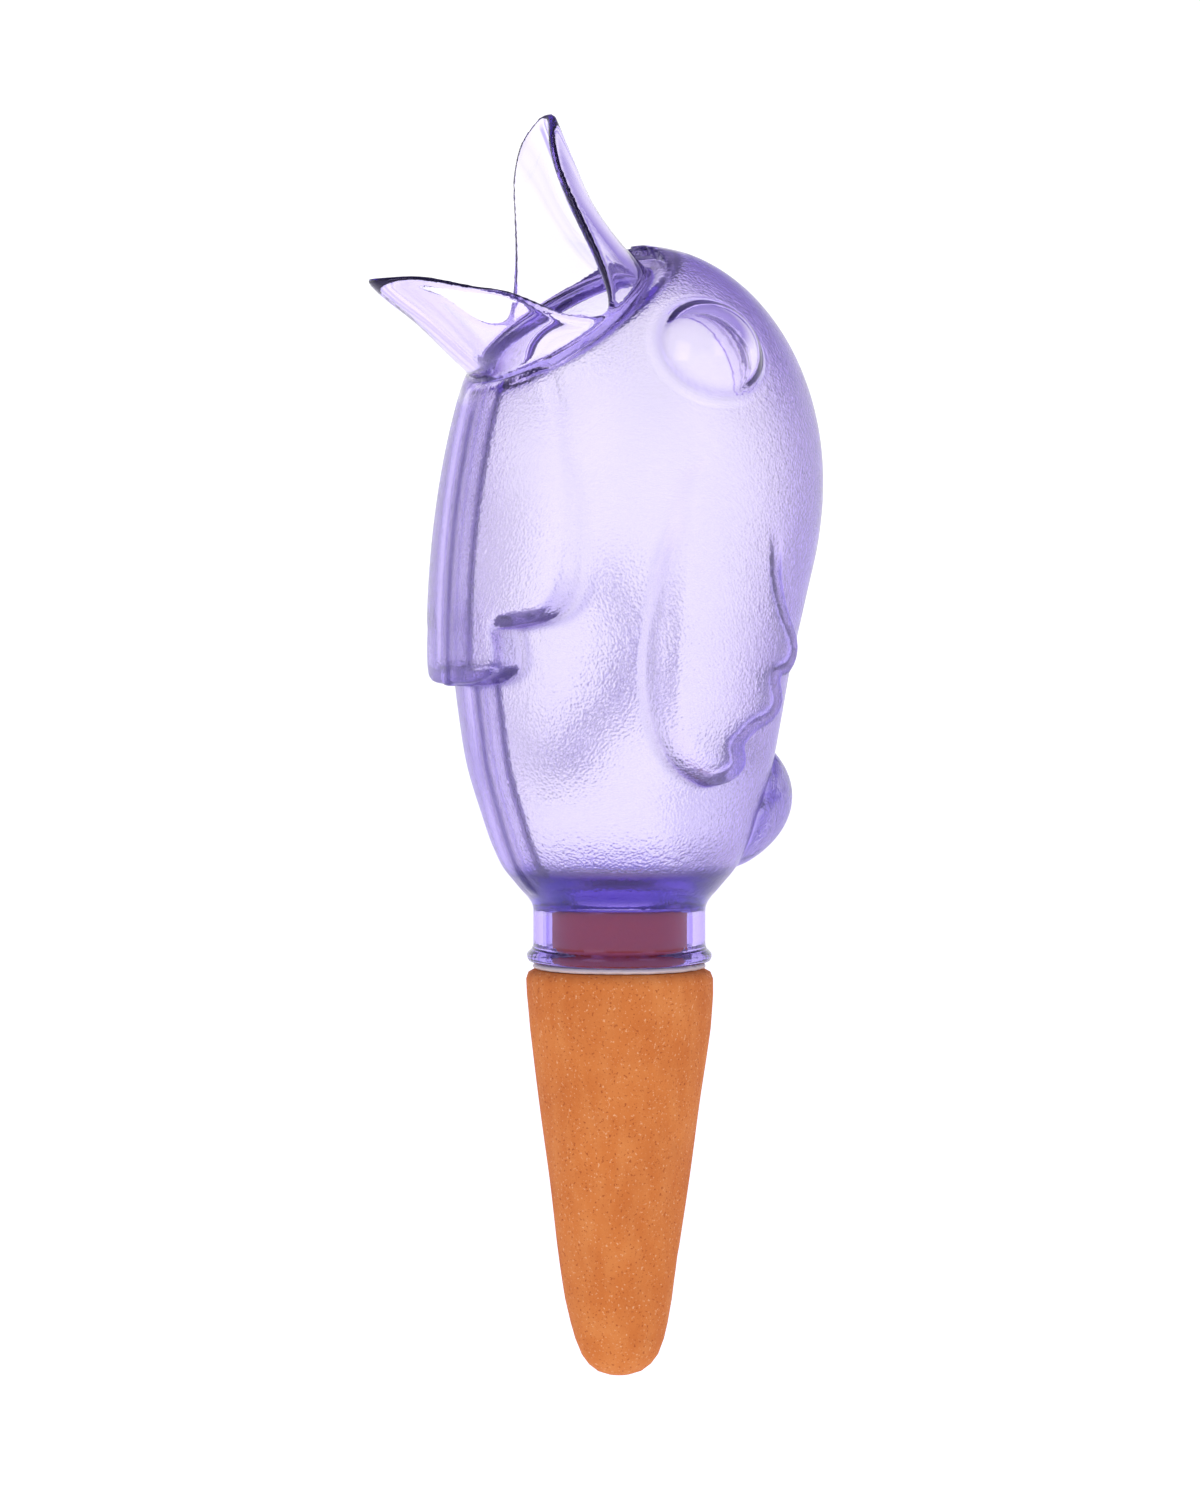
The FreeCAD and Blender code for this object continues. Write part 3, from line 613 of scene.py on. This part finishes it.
def carry_painted_shade(piece):
    """Note each point's depth of painted shade on the mesh."""
    mesh = piece.data
    places = np.empty(len(mesh.vertices) * 3)
    mesh.vertices.foreach_get("co", places)
    places = places.reshape(-1, 3) / MM
    places[:, 0] = np.abs(places[:, 0])
    steps = (places - np.array(LOW)) / GRID_STEP
    for label, field in (("painted_shade_depth", painted_shade_depth), ("painted_weld_shade", painted_weld_shade)):
        depths = sample(field, steps).astype(np.float32)
        mesh.attributes.new(label, "FLOAT", "POINT").data.foreach_set("value", depths)


left_bird = half_shell("left_bird_half", 1)
right_bird = half_shell("right_bird_half", -1)
carry_painted_shade(left_bird)
carry_painted_shade(right_bird)

# %% [markdown]
# Materials are built from nodes. Colours are written as sRGB hex, the way they are read off a screen, and
# turned linear by one function. One helper adds a node, sets its inputs and links it.

# %% Material tools


def linear(hex_colour):
    """An sRGB hex colour as linear light."""
    parts = [int(hex_colour[i:i + 2], 16) / 255.0 for i in (1, 3, 5)]
    return tuple(c / 12.92 if c <= 0.04045 else ((c + 0.055) / 1.055) ** 2.4 for c in parts) + (1.0,)


def add(tree, kind, settings=None, links=None, fixed=None, stops=(), **values):
    """Add a node. Settings are its own fields. Links, fixed and values go to its inputs, by number or
    name. Stops are a ramp's places, each with a grey or a hex colour."""
    node = tree.nodes.new(kind)
    for name, value in (settings or {}).items():
        setattr(node, name, value)
    for name, value in values.items():
        node.inputs[name.replace("_", " ")].default_value = value
    for number, value in (fixed or {}).items():
        node.inputs[number].default_value = value
    for name, source in (links or {}).items():
        tree.links.new(source, node.inputs[name])
    for _ in stops[2:]:
        node.color_ramp.elements.new(0.5)
    for place, (position, colour) in enumerate(stops):
        point = node.color_ramp.elements[place]
        point.position = position
        point.color = linear(colour) if isinstance(colour, str) else (colour, colour, colour, 1.0)
    return node


def empty_material(name):
    material = bpy.data.materials.new(name)
    material.use_nodes = True
    material.node_tree.nodes.clear()
    return material, material.node_tree


RAMP = "ShaderNodeValToRGB"
SMOOTH = {"interpolation_type": "SMOOTHSTEP"}
MULTIPLY = {"operation": "MULTIPLY"}
COLOURS = {"data_type": "RGBA"}
print("mid grey as linear light", round(linear("#808080")[0], 3))

# %% [markdown]
# The shells are injection moulded polystyrene, tinted violet. The mould was etched to a pebble grain over
# the body, and polished for the beak, the eyes and the neck. The pieces are one solid plastic, so nothing
# but place tells the finishes apart: a mask asks how high a point is, how far along the beak's direction,
# and how near an eye. The moulding sits at the origin in metres, so object coordinates are real places.

# %% Where the mould was etched
FLAT_HEIGHT = ROOT_Z * math.cos(ROOT_SLOPE) - ROOT_Y * math.sin(ROOT_SLOPE)
ETCH_BELOW_FLAT, ETCH_OFF_EYE, ETCH_ABOVE_NECK = (0.4, 2.0), (0.1, 0.6), (10.8, 12.5)


def etched_masks(tree, place, split, side):
    """Two masks: the pebbled skin, and the same with the neck, where the colour is also painted darker with
    slant.
    """
    lean = add(tree, "ShaderNodeVectorMath", {"operation": "DOT_PRODUCT"}, {0: place},
               fixed={1: (0.0, -math.sin(ROOT_SLOPE), math.cos(ROOT_SLOPE))})
    below_beak = add(tree, "ShaderNodeMapRange", SMOOTH, {0: lean.outputs["Value"]},
                     From_Min=(FLAT_HEIGHT - ETCH_BELOW_FLAT[0]) * MM,
                     From_Max=(FLAT_HEIGHT - ETCH_BELOW_FLAT[1]) * MM)
    above_neck = add(tree, "ShaderNodeMapRange", SMOOTH, {0: split.outputs["Z"]},
                     From_Min=ETCH_ABOVE_NECK[0] * MM, From_Max=ETCH_ABOVE_NECK[1] * MM)
    mirrored = add(tree, "ShaderNodeCombineXYZ",
                   links={"X": side.outputs[0], "Y": split.outputs["Y"], "Z": split.outputs["Z"]})
    to_eye = add(tree, "ShaderNodeVectorMath", {"operation": "DISTANCE"}, {0: mirrored.outputs[0]},
                 fixed={1: tuple(c * MM for c in EYE_CENTRE)})
    off_eye = add(tree, "ShaderNodeMapRange", SMOOTH, {0: to_eye.outputs["Value"]},
                  From_Min=(EYE_RADIUS + ETCH_OFF_EYE[0]) * MM, From_Max=(EYE_RADIUS + ETCH_OFF_EYE[1]) * MM)
    off_polish = add(tree, "ShaderNodeMath", MULTIPLY, {0: below_beak.outputs[0], 1: off_eye.outputs[0]})
    pebbled = add(tree, "ShaderNodeMath", MULTIPLY, {0: off_polish.outputs[0], 1: above_neck.outputs[0]})
    return pebbled, off_polish


print("the beak's flat lies", round(FLAT_HEIGHT, 1), "mm out along its own direction")

# %% [markdown]
# The etched grain is rounded cells 0.4 mm across, with a broader unevenness under it that keeps the cells
# from looking like a pattern. It is too fine and shallow to model, and a bump of a tenth of a millimetre
# scatters the light as it does.

# %% Pebble grain
PEBBLE, PEBBLE_DEPTH = 0.4 * MM, 0.1 * MM
BROAD_SHARE, BROAD_HEIGHT = 0.35, 0.8


def pebble_bump(tree, place, pebbled):
    cells = add(tree, "ShaderNodeTexVoronoi", {"feature": "SMOOTH_F1"}, {"Vector": place},
                Scale=1.0 / PEBBLE, Smoothness=0.8, Randomness=1.0)
    broad = add(tree, "ShaderNodeTexNoise", links={"Vector": place}, Scale=BROAD_SHARE / PEBBLE, Detail=2.0)
    mixed = add(tree, "ShaderNodeMath", {"operation": "MULTIPLY_ADD"},
                {0: broad.outputs[0], 2: cells.outputs["Distance"]}, fixed={1: BROAD_HEIGHT})
    height = add(tree, "ShaderNodeMath", MULTIPLY, {0: mixed.outputs[0], 1: pebbled.outputs[0]})
    return add(tree, "ShaderNodeBump", links={"Height": height.outputs[0]}, Strength=0.55,
               Distance=PEBBLE_DEPTH)


print("pebbles", round(PEBBLE / MM, 2), "mm across")

# %% [markdown]
# The tint is in the plastic, not on it. A volume that absorbs light does most of the work, and the surface
# colour adds painted shade for the thin frosted wall: a slanting look meets more plastic than a straight
# one, so there the colour is painted a deeper violet with slant, darkest at the rims. The depths on the
# points, and a pair of fine lines along the weld, are painted shade that goes to the deepest violet.

# %% Depth of painted shade
WELD_REACH = 8.0 * MM
SLANT_SHADE = ((0.36, "#FFFFFF"), (0.60, "#DDD0FC"), (0.80, "#9470E8"), (1.0, "#3A14C0"))
WELD_SHADE_LINES = ((0.05, 0.0), (0.10, 1.0), (0.15, 1.0), (0.19, 0.0), (0.42, 0.0), (0.62, 0.35), (0.74, 0.0))
DEEPEST_SHADE_VIOLET = "#5218C8"


def paint_shade_colour(tree, side, off_polish, bump):
    # painted shade: the colour darkens to violet as the surface turns away, towards the rims
    slant = add(tree, "ShaderNodeLayerWeight", links={"Normal": bump.outputs[0]}, Blend=0.5)
    slanting = add(tree, RAMP, links={0: slant.outputs["Facing"]}, stops=SLANT_SHADE)
    surface = add(tree, "ShaderNodeMix", COLOURS, {0: off_polish.outputs[0], 7: slanting.outputs[0]},
                  fixed={6: linear("#FFFFFF")})
    across = add(tree, "ShaderNodeMapRange", links={0: side.outputs[0]}, From_Max=WELD_REACH)
    pair = add(tree, RAMP, links={0: across.outputs[0]}, stops=WELD_SHADE_LINES)
    # painted shade: the weld lines and the carried depths darken the colour towards the deepest violet
    on_weld = add(tree, "ShaderNodeAttribute", {"attribute_name": "painted_weld_shade"})
    weld = add(tree, "ShaderNodeMath", MULTIPLY, {0: pair.outputs[0], 1: on_weld.outputs["Fac"]})
    carried = add(tree, "ShaderNodeAttribute", {"attribute_name": "painted_shade_depth"})
    depth = add(tree, "ShaderNodeMath", {"operation": "MAXIMUM"},
                {0: weld.outputs[0], 1: carried.outputs["Fac"]})
    return add(tree, "ShaderNodeMix", COLOURS, {0: depth.outputs[0], 6: surface.outputs[2]},
               fixed={7: linear(DEEPEST_SHADE_VIOLET)})


print("deepest violet", [round(c, 3) for c in linear(DEEPEST_SHADE_VIOLET)[:3]])

# %% [markdown]
# Polystyrene bends light more than most plastics, which is why its polished beak draws such crisp lines.
# The etched skin lets a little less through and is rougher, so it glows softly where the beak is clear.

# %% Violet polystyrene
POLYSTYRENE_IOR = 1.57
POLISHED_ROUGHNESS, ETCHED_ROUGHNESS = 0.02, 0.2
ETCHED_CLEARNESS = 0.94
VIOLET_TINT, TINT_DENSITY = "#A868F4", 80.0


def polystyrene():
    material, tree = empty_material("violet_polystyrene_moulded")
    place = add(tree, "ShaderNodeTexCoord").outputs["Object"]
    split = add(tree, "ShaderNodeSeparateXYZ", links={0: place})
    side = add(tree, "ShaderNodeMath", {"operation": "ABSOLUTE"}, {0: split.outputs["X"]})
    pebbled, off_polish = etched_masks(tree, place, split, side)
    bump = pebble_bump(tree, place, pebbled)
    rough = add(tree, "ShaderNodeMapRange", links={0: pebbled.outputs[0]},
                To_Min=POLISHED_ROUGHNESS, To_Max=ETCHED_ROUGHNESS)
    clear = add(tree, "ShaderNodeMapRange", links={0: pebbled.outputs[0]},
                To_Min=1.0, To_Max=ETCHED_CLEARNESS)
    # the base colour carries the painted shade: slant, steps, creases and weld lines
    tinted = paint_shade_colour(tree, side, off_polish, bump)
    shader = add(tree, "ShaderNodeBsdfPrincipled",
                 links={"Base Color": tinted.outputs[2], "Roughness": rough.outputs[0],
                        "Normal": bump.outputs[0], "Transmission Weight": clear.outputs[0]},
                 IOR=POLYSTYRENE_IOR, Specular_Tint=linear("#CDBEFF"))
    tint = add(tree, "ShaderNodeVolumeAbsorption", Color=linear(VIOLET_TINT), Density=TINT_DENSITY)
    add(tree, "ShaderNodeOutputMaterial", links={"Surface": shader.outputs[0], "Volume": tint.outputs[0]})
    return material


violet_plastic = polystyrene()
for piece, node in ((left_bird, "left_shell"), (right_bird, "right_shell")):
    piece.data.materials.append(violet_plastic)
    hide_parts(node)
    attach(piece, "root")
print("violet plastic on both halves, with", len(violet_plastic.node_tree.nodes), "nodes")

# %% [markdown]
# The cone is slip cast terracotta: liquid clay is poured into a plaster mould, and wiped by hand when it
# comes out. So it isn't quite round, and has a few nicks. The CAD cone is a plain body of revolution, so
# the cone is drawn again: its profile is turned like a pot, and each point is then pushed in or out a
# little. The tables give height and radius, and for a nick its height, angle, depth and width.

# %% The cone's profile
CONE_PROFILE = (
    (-63.5, 0.0), (-63.3, 1.9), (-62.7, 3.6), (-61.6, 5.0), (-60.1, 6.1), (-57.7, 7.05), (-55.2, 7.7),
    (-51.5, 8.45), (-42.0, 9.78), (-32.9, 11.0), (-24.0, 12.2), (-14.3, 13.5), (-9.3, 14.15), (-4.0, 14.6),
    (-1.6, 14.65), (-0.6, 14.3), (-0.1, 13.4),
)
STUB_RADIUS, STUB_BORE, STUB_TOP = 10.4, 7.2, 10.0
STUB_PROFILE = (
    (-0.1, 13.4), (0.0, 11.2), (0.05, STUB_RADIUS), (STUB_TOP - 0.6, STUB_RADIUS),
    (STUB_TOP - 0.1, STUB_RADIUS - 0.5), (STUB_TOP, STUB_RADIUS - 1.0), (STUB_TOP, STUB_BORE + 0.3),
    (STUB_TOP - 0.3, STUB_BORE), (-0.6, STUB_BORE),
)
CONE_HOLLOW = (
    (-0.6, 7.2), (-3.5, 8.6), (-7.0, 10.6), (-20.0, 9.1), (-35.0, 7.3), (-53.5, 5.0), (-57.0, 4.2),
    (-59.3, 2.6), (-60.3, 0.0),
)
SKIN_SPACING, STUB_SPACING, HOLLOW_SPACING = 0.7, 1.2, 2.0
NICKS = ((-26.1, 0.35, 0.9, 1.5), (-34.2, 0.42, 0.5, 2.6), (-57.0, 0.22, 0.9, 0.9), (-13.0, -0.2, 0.7, 1.0),
         (-45.0, 0.9, 0.8, 1.3), (-20.0, 2.4, 0.9, 1.2), (-38.0, 3.6, 0.8, 1.6), (-8.0, 4.6, 0.9, 1.0))


def turned_rows(profile, spacing):
    """A profile read at even steps, so that its bulges and dents have points to move."""
    rows = [profile[0]]
    for (z0, r0), (z1, r1) in zip(profile, profile[1:]):
        steps = max(1, int(math.hypot(z1 - z0, r1 - r0) / spacing))
        rows += [(z0 + (z1 - z0) * k / steps, r0 + (r1 - r0) * k / steps) for k in range(1, steps + 1)]
    return rows


CONE_ROWS = turned_rows(CONE_PROFILE, SKIN_SPACING)
CONE_ROWS += turned_rows(STUB_PROFILE, STUB_SPACING)[1:] + turned_rows(CONE_HOLLOW, HOLLOW_SPACING)[1:]
print("the cone is turned in", len(CONE_ROWS), "rows")

# %% [markdown]
# The unevenness is two slow waves round the cone that wander with height, and the nicks are small soft
# hollows. The skin is first taken in by as much as the larger wave adds, so that the cone doesn't outgrow
# the CAD one. A wave's row gives its height, how many go round, its lean and where it starts.

# %% The clay cone
CONE_SIDES = 192
WAVES = ((0.12, 3, 0.11, 0.0), (0.08, 5, -0.23, 1.0))
TAKEN_IN, FULL_WAVE_RADIUS = 0.12, 6.0
SKIN_RADIUS, TIP_Z = 8.0, -53.0
NICK_SHARE, NICK_FALL = 0.4, 2.2


def worn(r, z, angle):
    """The radius of the clay's outer skin, with its waves and nicks."""
    push = sum(high * math.sin(count * angle + z * lean + start) for high, count, lean, start in WAVES)
    shape = r + (push * min(1.0, r / FULL_WAVE_RADIUS) - TAKEN_IN)
    for nick_z, nick_angle, deep, wide in NICKS:
        turn = (angle - nick_angle + math.pi) % (2 * math.pi) - math.pi
        away = ((z - nick_z) / wide) ** 2 + (turn * r / wide) ** 2
        shape -= NICK_SHARE * deep * math.exp(-NICK_FALL * away)
    return shape


def clay_cone():
    points, faces = [], []
    for z, r in CONE_ROWS:
        for k in range(CONE_SIDES):
            angle = 2 * math.pi * k / CONE_SIDES
            shape = worn(r, z, angle) if z < 0 and r > SKIN_RADIUS or z < TIP_Z else r
            points.append((shape * math.cos(angle) * MM, shape * math.sin(angle) * MM, z * MM))
    for row in range(len(CONE_ROWS) - 1):
        for k in range(CONE_SIDES):
            a, b = row * CONE_SIDES + k, row * CONE_SIDES + (k + 1) % CONE_SIDES
            faces.append((a, b, b + CONE_SIDES, a + CONE_SIDES))
    mesh = bpy.data.meshes.new("terracotta_cone")
    mesh.from_pydata(points, [], faces)
    work = bmesh.new()
    work.from_mesh(mesh)
    bmesh.ops.remove_doubles(work, verts=work.verts[:], dist=1e-6)
    bmesh.ops.recalc_face_normals(work, faces=work.faces[:])
    work.to_mesh(mesh)
    work.free()
    mesh.shade_smooth()
    piece = bpy.data.objects.new("terracotta_cone", mesh)
    bpy.context.scene.collection.objects.link(piece)
    return piece


cone = clay_cone()
print("cone of", len(cone.data.polygons), "faces")

# %% [markdown]
# Fired and left raw, the clay is fully matt. It has soft patches of paler and redder clay about 9 mm
# across, fainter marks of the wiping hand about 2 mm wide and drawn out along the cone, and fine pale grit
# with dark pores, drawn a little coarser than the real half millimetre or less so that it shows. Seen
# through the neck and the sealant, the stub is a deeper red.

# %% Terracotta
PATCH, WIPE, GRIT = 9.1 * MM, 2.38 * MM, 0.435 * MM
WIPE_STRETCH, GRIT_HEIGHT = 0.3, 0.6
STUB_FROM, STUB_FULL = 0.3 * MM, 0.9 * MM
FIRED_CLAY = ((0.30, "#BE6A2D"), (0.45, "#C47031"), (0.60, "#CA7736"), (0.75, "#D08343"))
WIPED_CLAY, PALE_GRIT, DARK_PORE, RED_STUB = "#D8904E", "#E2AA78", "#9A4A1E", "#CE521E"


def terracotta():
    material, tree = empty_material("terracotta_slip_cast")
    place = add(tree, "ShaderNodeTexCoord").outputs["Object"]
    patches = add(tree, "ShaderNodeTexNoise", links={"Vector": place}, Scale=1.0 / PATCH, Detail=5.0,
                  Roughness=0.62)
    stretched = add(tree, "ShaderNodeMapping", links={"Vector": place}, Scale=(1.0, 1.0, WIPE_STRETCH))
    wiped = add(tree, "ShaderNodeTexNoise", links={"Vector": stretched.outputs[0]}, Scale=1.0 / WIPE,
                Detail=3.0)
    grit = add(tree, "ShaderNodeTexNoise", links={"Vector": place}, Scale=1.0 / GRIT, Detail=2.0)
    colour = add(tree, RAMP, links={0: patches.outputs[0]}, stops=FIRED_CLAY).outputs[0]
    marks = add(tree, RAMP, links={0: wiped.outputs[0]}, stops=((0.42, 0.0), (0.72, 0.32)))
    grains = add(tree, RAMP, links={0: grit.outputs[0]}, stops=((0.63, 0.0), (0.72, 0.75)))
    pores = add(tree, RAMP, links={0: grit.outputs[0]}, stops=((0.30, 0.8), (0.38, 0.0)))
    height = add(tree, "ShaderNodeSeparateXYZ", links={0: place})
    stub = add(tree, "ShaderNodeMapRange", links={0: height.outputs["Z"]},
               From_Min=STUB_FROM, From_Max=STUB_FULL)
    for mask, layer in ((marks, WIPED_CLAY), (grains, PALE_GRIT), (pores, DARK_PORE), (stub, RED_STUB)):
        mixed = add(tree, "ShaderNodeMix", COLOURS, {0: mask.outputs[0], 6: colour}, fixed={7: linear(layer)})
        colour = mixed.outputs[2]
    relief = add(tree, "ShaderNodeMath", {"operation": "MULTIPLY_ADD"},
                 {0: grit.outputs[0], 2: wiped.outputs[0]}, fixed={1: GRIT_HEIGHT})
    bump = add(tree, "ShaderNodeBump", links={"Height": relief.outputs[0]}, Strength=0.55, Distance=0.25 * MM)
    shader = add(tree, "ShaderNodeBsdfPrincipled", links={"Base Color": colour, "Normal": bump.outputs[0]},
                 Roughness=0.9, Specular_IOR_Level=0.25)
    add(tree, "ShaderNodeOutputMaterial", links={"Surface": shader.outputs[0]})
    return material


cone.data.materials.append(terracotta())
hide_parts("clay_cone")
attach(cone, "root")
print("terracotta with patches of", round(PATCH / MM, 1), "mm")

# %% [markdown]
# The stub is held in the neck by clear sealant, and a ragged bead of it squeezed out under the collar and
# dried whitish. The sleeve can't be seen against the clay, so only its bead needs an uneven edge.

# %% Sealant sleeve and bead
SEALANT_PROFILE = (
    (0.05, 10.5), (0.02, 12.7), (0.12, 13.25), (0.42, 13.45), (0.72, 13.25), (0.86, 12.8), (0.88, 11.28),
    (7.2, 11.28), (7.0, 10.9), (6.8, 10.5),
)
SEALANT_SIDES = 240
BEAD_TOP, BEAD_INSIDE = 0.8, 12.0
RAGGED, LUMP_SEED = 0.35, 7
LUMP_IN, LUMP_OUT = -1.0, 0.3
FOLD = math.radians(50)


def sealant_sleeve():
    rng = np.random.default_rng(LUMP_SEED)
    lumps = rng.normal(0.0, 1.0, SEALANT_SIDES)
    for _ in range(2):
        lumps = (lumps + np.roll(lumps, 1) + np.roll(lumps, -1)) / 3.0
    points, faces = [], []
    for z, r in SEALANT_PROFILE:
        for k in range(SEALANT_SIDES):
            angle = 2 * math.pi * k / SEALANT_SIDES
            on_bead = z < BEAD_TOP and r > BEAD_INSIDE
            ragged = RAGGED * float(np.clip(lumps[k], LUMP_IN, LUMP_OUT)) if on_bead else 0.0
            points.append(((r + ragged) * math.cos(angle) * MM, (r + ragged) * math.sin(angle) * MM, z * MM))
    for row in range(len(SEALANT_PROFILE)):
        below = (row + 1) % len(SEALANT_PROFILE)
        for k in range(SEALANT_SIDES):
            after = (k + 1) % SEALANT_SIDES
            a, b = row * SEALANT_SIDES + k, row * SEALANT_SIDES + after
            c, d = below * SEALANT_SIDES + after, below * SEALANT_SIDES + k
            faces.append((a, b, c, d))
    mesh = bpy.data.meshes.new("sealant_bead")
    mesh.from_pydata(points, [], faces)
    work = bmesh.new()
    work.from_mesh(mesh)
    bmesh.ops.recalc_face_normals(work, faces=work.faces[:])
    work.to_mesh(mesh)
    work.free()
    mesh.shade_smooth()
    mesh.set_sharp_from_angle(angle=FOLD)
    piece = bpy.data.objects.new("sealant_bead", mesh)
    bpy.context.scene.collection.objects.link(piece)
    return piece


sealant = sealant_sleeve()
print("sealant of", len(sealant.data.polygons), "faces")

# %% [markdown]
# The sealant is silicone, which cures rubbery and half clear. Where it is squeezed out it has caught dust
# and looks whitish and satin. Between clay and neck it wets both and all but disappears, so there it is
# drawn as fully clear.

# %% Silicone
SILICONE_IOR = 1.41
LUMP = 0.667 * MM
WETS_FROM, WETS_FULL = 0.85 * MM, 1.1 * MM


def silicone():
    material, tree = empty_material("silicone_cured")
    place = add(tree, "ShaderNodeTexCoord").outputs["Object"]
    split = add(tree, "ShaderNodeSeparateXYZ", links={0: place})
    sleeve = add(tree, "ShaderNodeMapRange", links={0: split.outputs["Z"]},
                 From_Min=WETS_FROM, From_Max=WETS_FULL)
    lumps = add(tree, "ShaderNodeTexNoise", links={"Vector": place}, Scale=1.0 / LUMP, Detail=3.0)
    bump = add(tree, "ShaderNodeBump", links={"Height": lumps.outputs[0]}, Strength=0.4, Distance=0.2 * MM)
    bead = add(tree, "ShaderNodeBsdfPrincipled", links={"Normal": bump.outputs[0]},
               Base_Color=linear("#D9CFCB"), Roughness=0.45, IOR=SILICONE_IOR)
    wet = add(tree, "ShaderNodeBsdfTransparent", Color=linear("#FFFFFF"))
    shader = add(tree, "ShaderNodeMixShader",
                 links={0: sleeve.outputs[0], 1: bead.outputs[0], 2: wet.outputs[0]})
    add(tree, "ShaderNodeOutputMaterial", links={"Surface": shader.outputs[0]})
    return material


sealant.data.materials.append(silicone())
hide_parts("sealant")
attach(sealant, "root")
print("silicone on the sealant")

# %% [markdown]
# The stage is a plain pale floor well below the cone's tip. It glows a little, so that it stays as pale
# through the clear plastic as beside it.

# %% Floor
FLOOR_Z, FLOOR_HALF, FLOOR_GLOW = -0.30, 6.0, 0.8


def floor():
    corners = ((-FLOOR_HALF, -FLOOR_HALF), (FLOOR_HALF, -FLOOR_HALF), (FLOOR_HALF, FLOOR_HALF),
               (-FLOOR_HALF, FLOOR_HALF))
    mesh = bpy.data.meshes.new("floor")
    mesh.from_pydata([(x, y, FLOOR_Z) for x, y in corners], [], [(0, 1, 2, 3)])
    material, tree = empty_material("pale_floor")
    shader = add(tree, "ShaderNodeBsdfPrincipled", Base_Color=linear("#D8D8D8"), Roughness=0.95,
                 Specular_IOR_Level=0.0, Emission_Color=linear("#FFFFFF"), Emission_Strength=FLOOR_GLOW)
    add(tree, "ShaderNodeOutputMaterial", links={"Surface": shader.outputs[0]})
    mesh.materials.append(material)
    piece = bpy.data.objects.new("floor", mesh)
    bpy.context.scene.collection.objects.link(piece)
    return piece


ground = floor()
print("floor at", round(ground.data.vertices[0].co.z, 2), "m")

# %% [markdown]
# Clear plastic shows mostly what stands round it. The room is white to above eye level, which makes the
# body glow, and its dusky violet ceiling draws the darker lines in the walls. Two soft panels, in front
# and to the side, add the highlights and the shade that make the clay round.

# %% Room and lights
ROOM = ((0.5, "#FFFFFF"), (0.60, "#FFFFFF"), (0.74, "#A094CC"), (1.0, "#B4AAD8"))
ROOM_STRENGTH = 1.2
PANEL_AIM = (0.0, 0.0, 0.04)


def studio():
    world = bpy.data.worlds.new("studio")
    bpy.context.scene.world = world
    world.use_nodes = True
    tree = world.node_tree
    tree.nodes.clear()
    direction = add(tree, "ShaderNodeTexCoord").outputs["Generated"]
    split = add(tree, "ShaderNodeSeparateXYZ", links={0: direction})
    height = add(tree, "ShaderNodeMapRange", links={0: split.outputs["Z"]}, From_Min=-1.0, From_Max=1.0)
    walls = add(tree, RAMP, links={0: height.outputs[0]}, stops=ROOM)
    light = add(tree, "ShaderNodeBackground", links={"Color": walls.outputs[0]}, Strength=ROOM_STRENGTH)
    add(tree, "ShaderNodeOutputWorld", links={"Surface": light.outputs[0]})
    return world


def panel(name, place, wide, high, power):
    light = bpy.data.lights.new(name, "AREA")
    light.shape = "RECTANGLE"
    light.size, light.size_y, light.energy = wide, high, power
    lamp = bpy.data.objects.new(name, light)
    lamp.location = place
    lamp.rotation_euler = (Vector(PANEL_AIM) - Vector(place)).to_track_quat("-Z", "Y").to_euler()
    bpy.context.scene.collection.objects.link(lamp)
    return lamp


room = studio()
panels = (panel("front_panel", (0.55, -1.1, 0.55), 0.6, 0.8, 2.2),
          panel("side_panel", (1.2, 0.25, 0.7), 0.5, 0.7, 1.6))
print(room.name, "with", len(panels), "panels")

# %% [markdown]
# The camera stands where the photograph was taken from: a little in front of the bird's left side, level
# with its middle, about three quarters of a metre away. Its lens is worked out from the height of the
# frame at the bird, so that the object fills the picture as it does there.

# %% Camera
VIEW_TURN, VIEW_DISTANCE, VIEW_TILT = math.radians(61.0), 0.73, math.radians(-2.0)
ASIDE, AIM_Z, SPAN = 3.0 * MM, 0.0339, 0.2326
SENSOR = 24.0


def photograph_camera():
    aim = Vector((-ASIDE * math.cos(VIEW_TURN), -ASIDE * math.sin(VIEW_TURN), AIM_Z))
    look = Vector((-math.sin(VIEW_TURN), math.cos(VIEW_TURN), math.tan(VIEW_TILT))).normalized()
    lens = bpy.data.cameras.new("camera")
    lens.sensor_fit = "VERTICAL"
    lens.sensor_height = SENSOR
    lens.lens = SENSOR * VIEW_DISTANCE / SPAN
    lens.clip_start = 0.01
    camera = bpy.data.objects.new("camera", lens)
    camera.location = aim - look * VIEW_DISTANCE
    camera.rotation_euler = look.to_track_quat("-Z", "Y").to_euler()
    bpy.context.scene.collection.objects.link(camera)
    bpy.context.scene.camera = camera
    return camera


camera = photograph_camera()
bpy.context.scene.view_settings.view_transform = "Standard"
print("camera at", [round(c, 3) for c in camera.location])
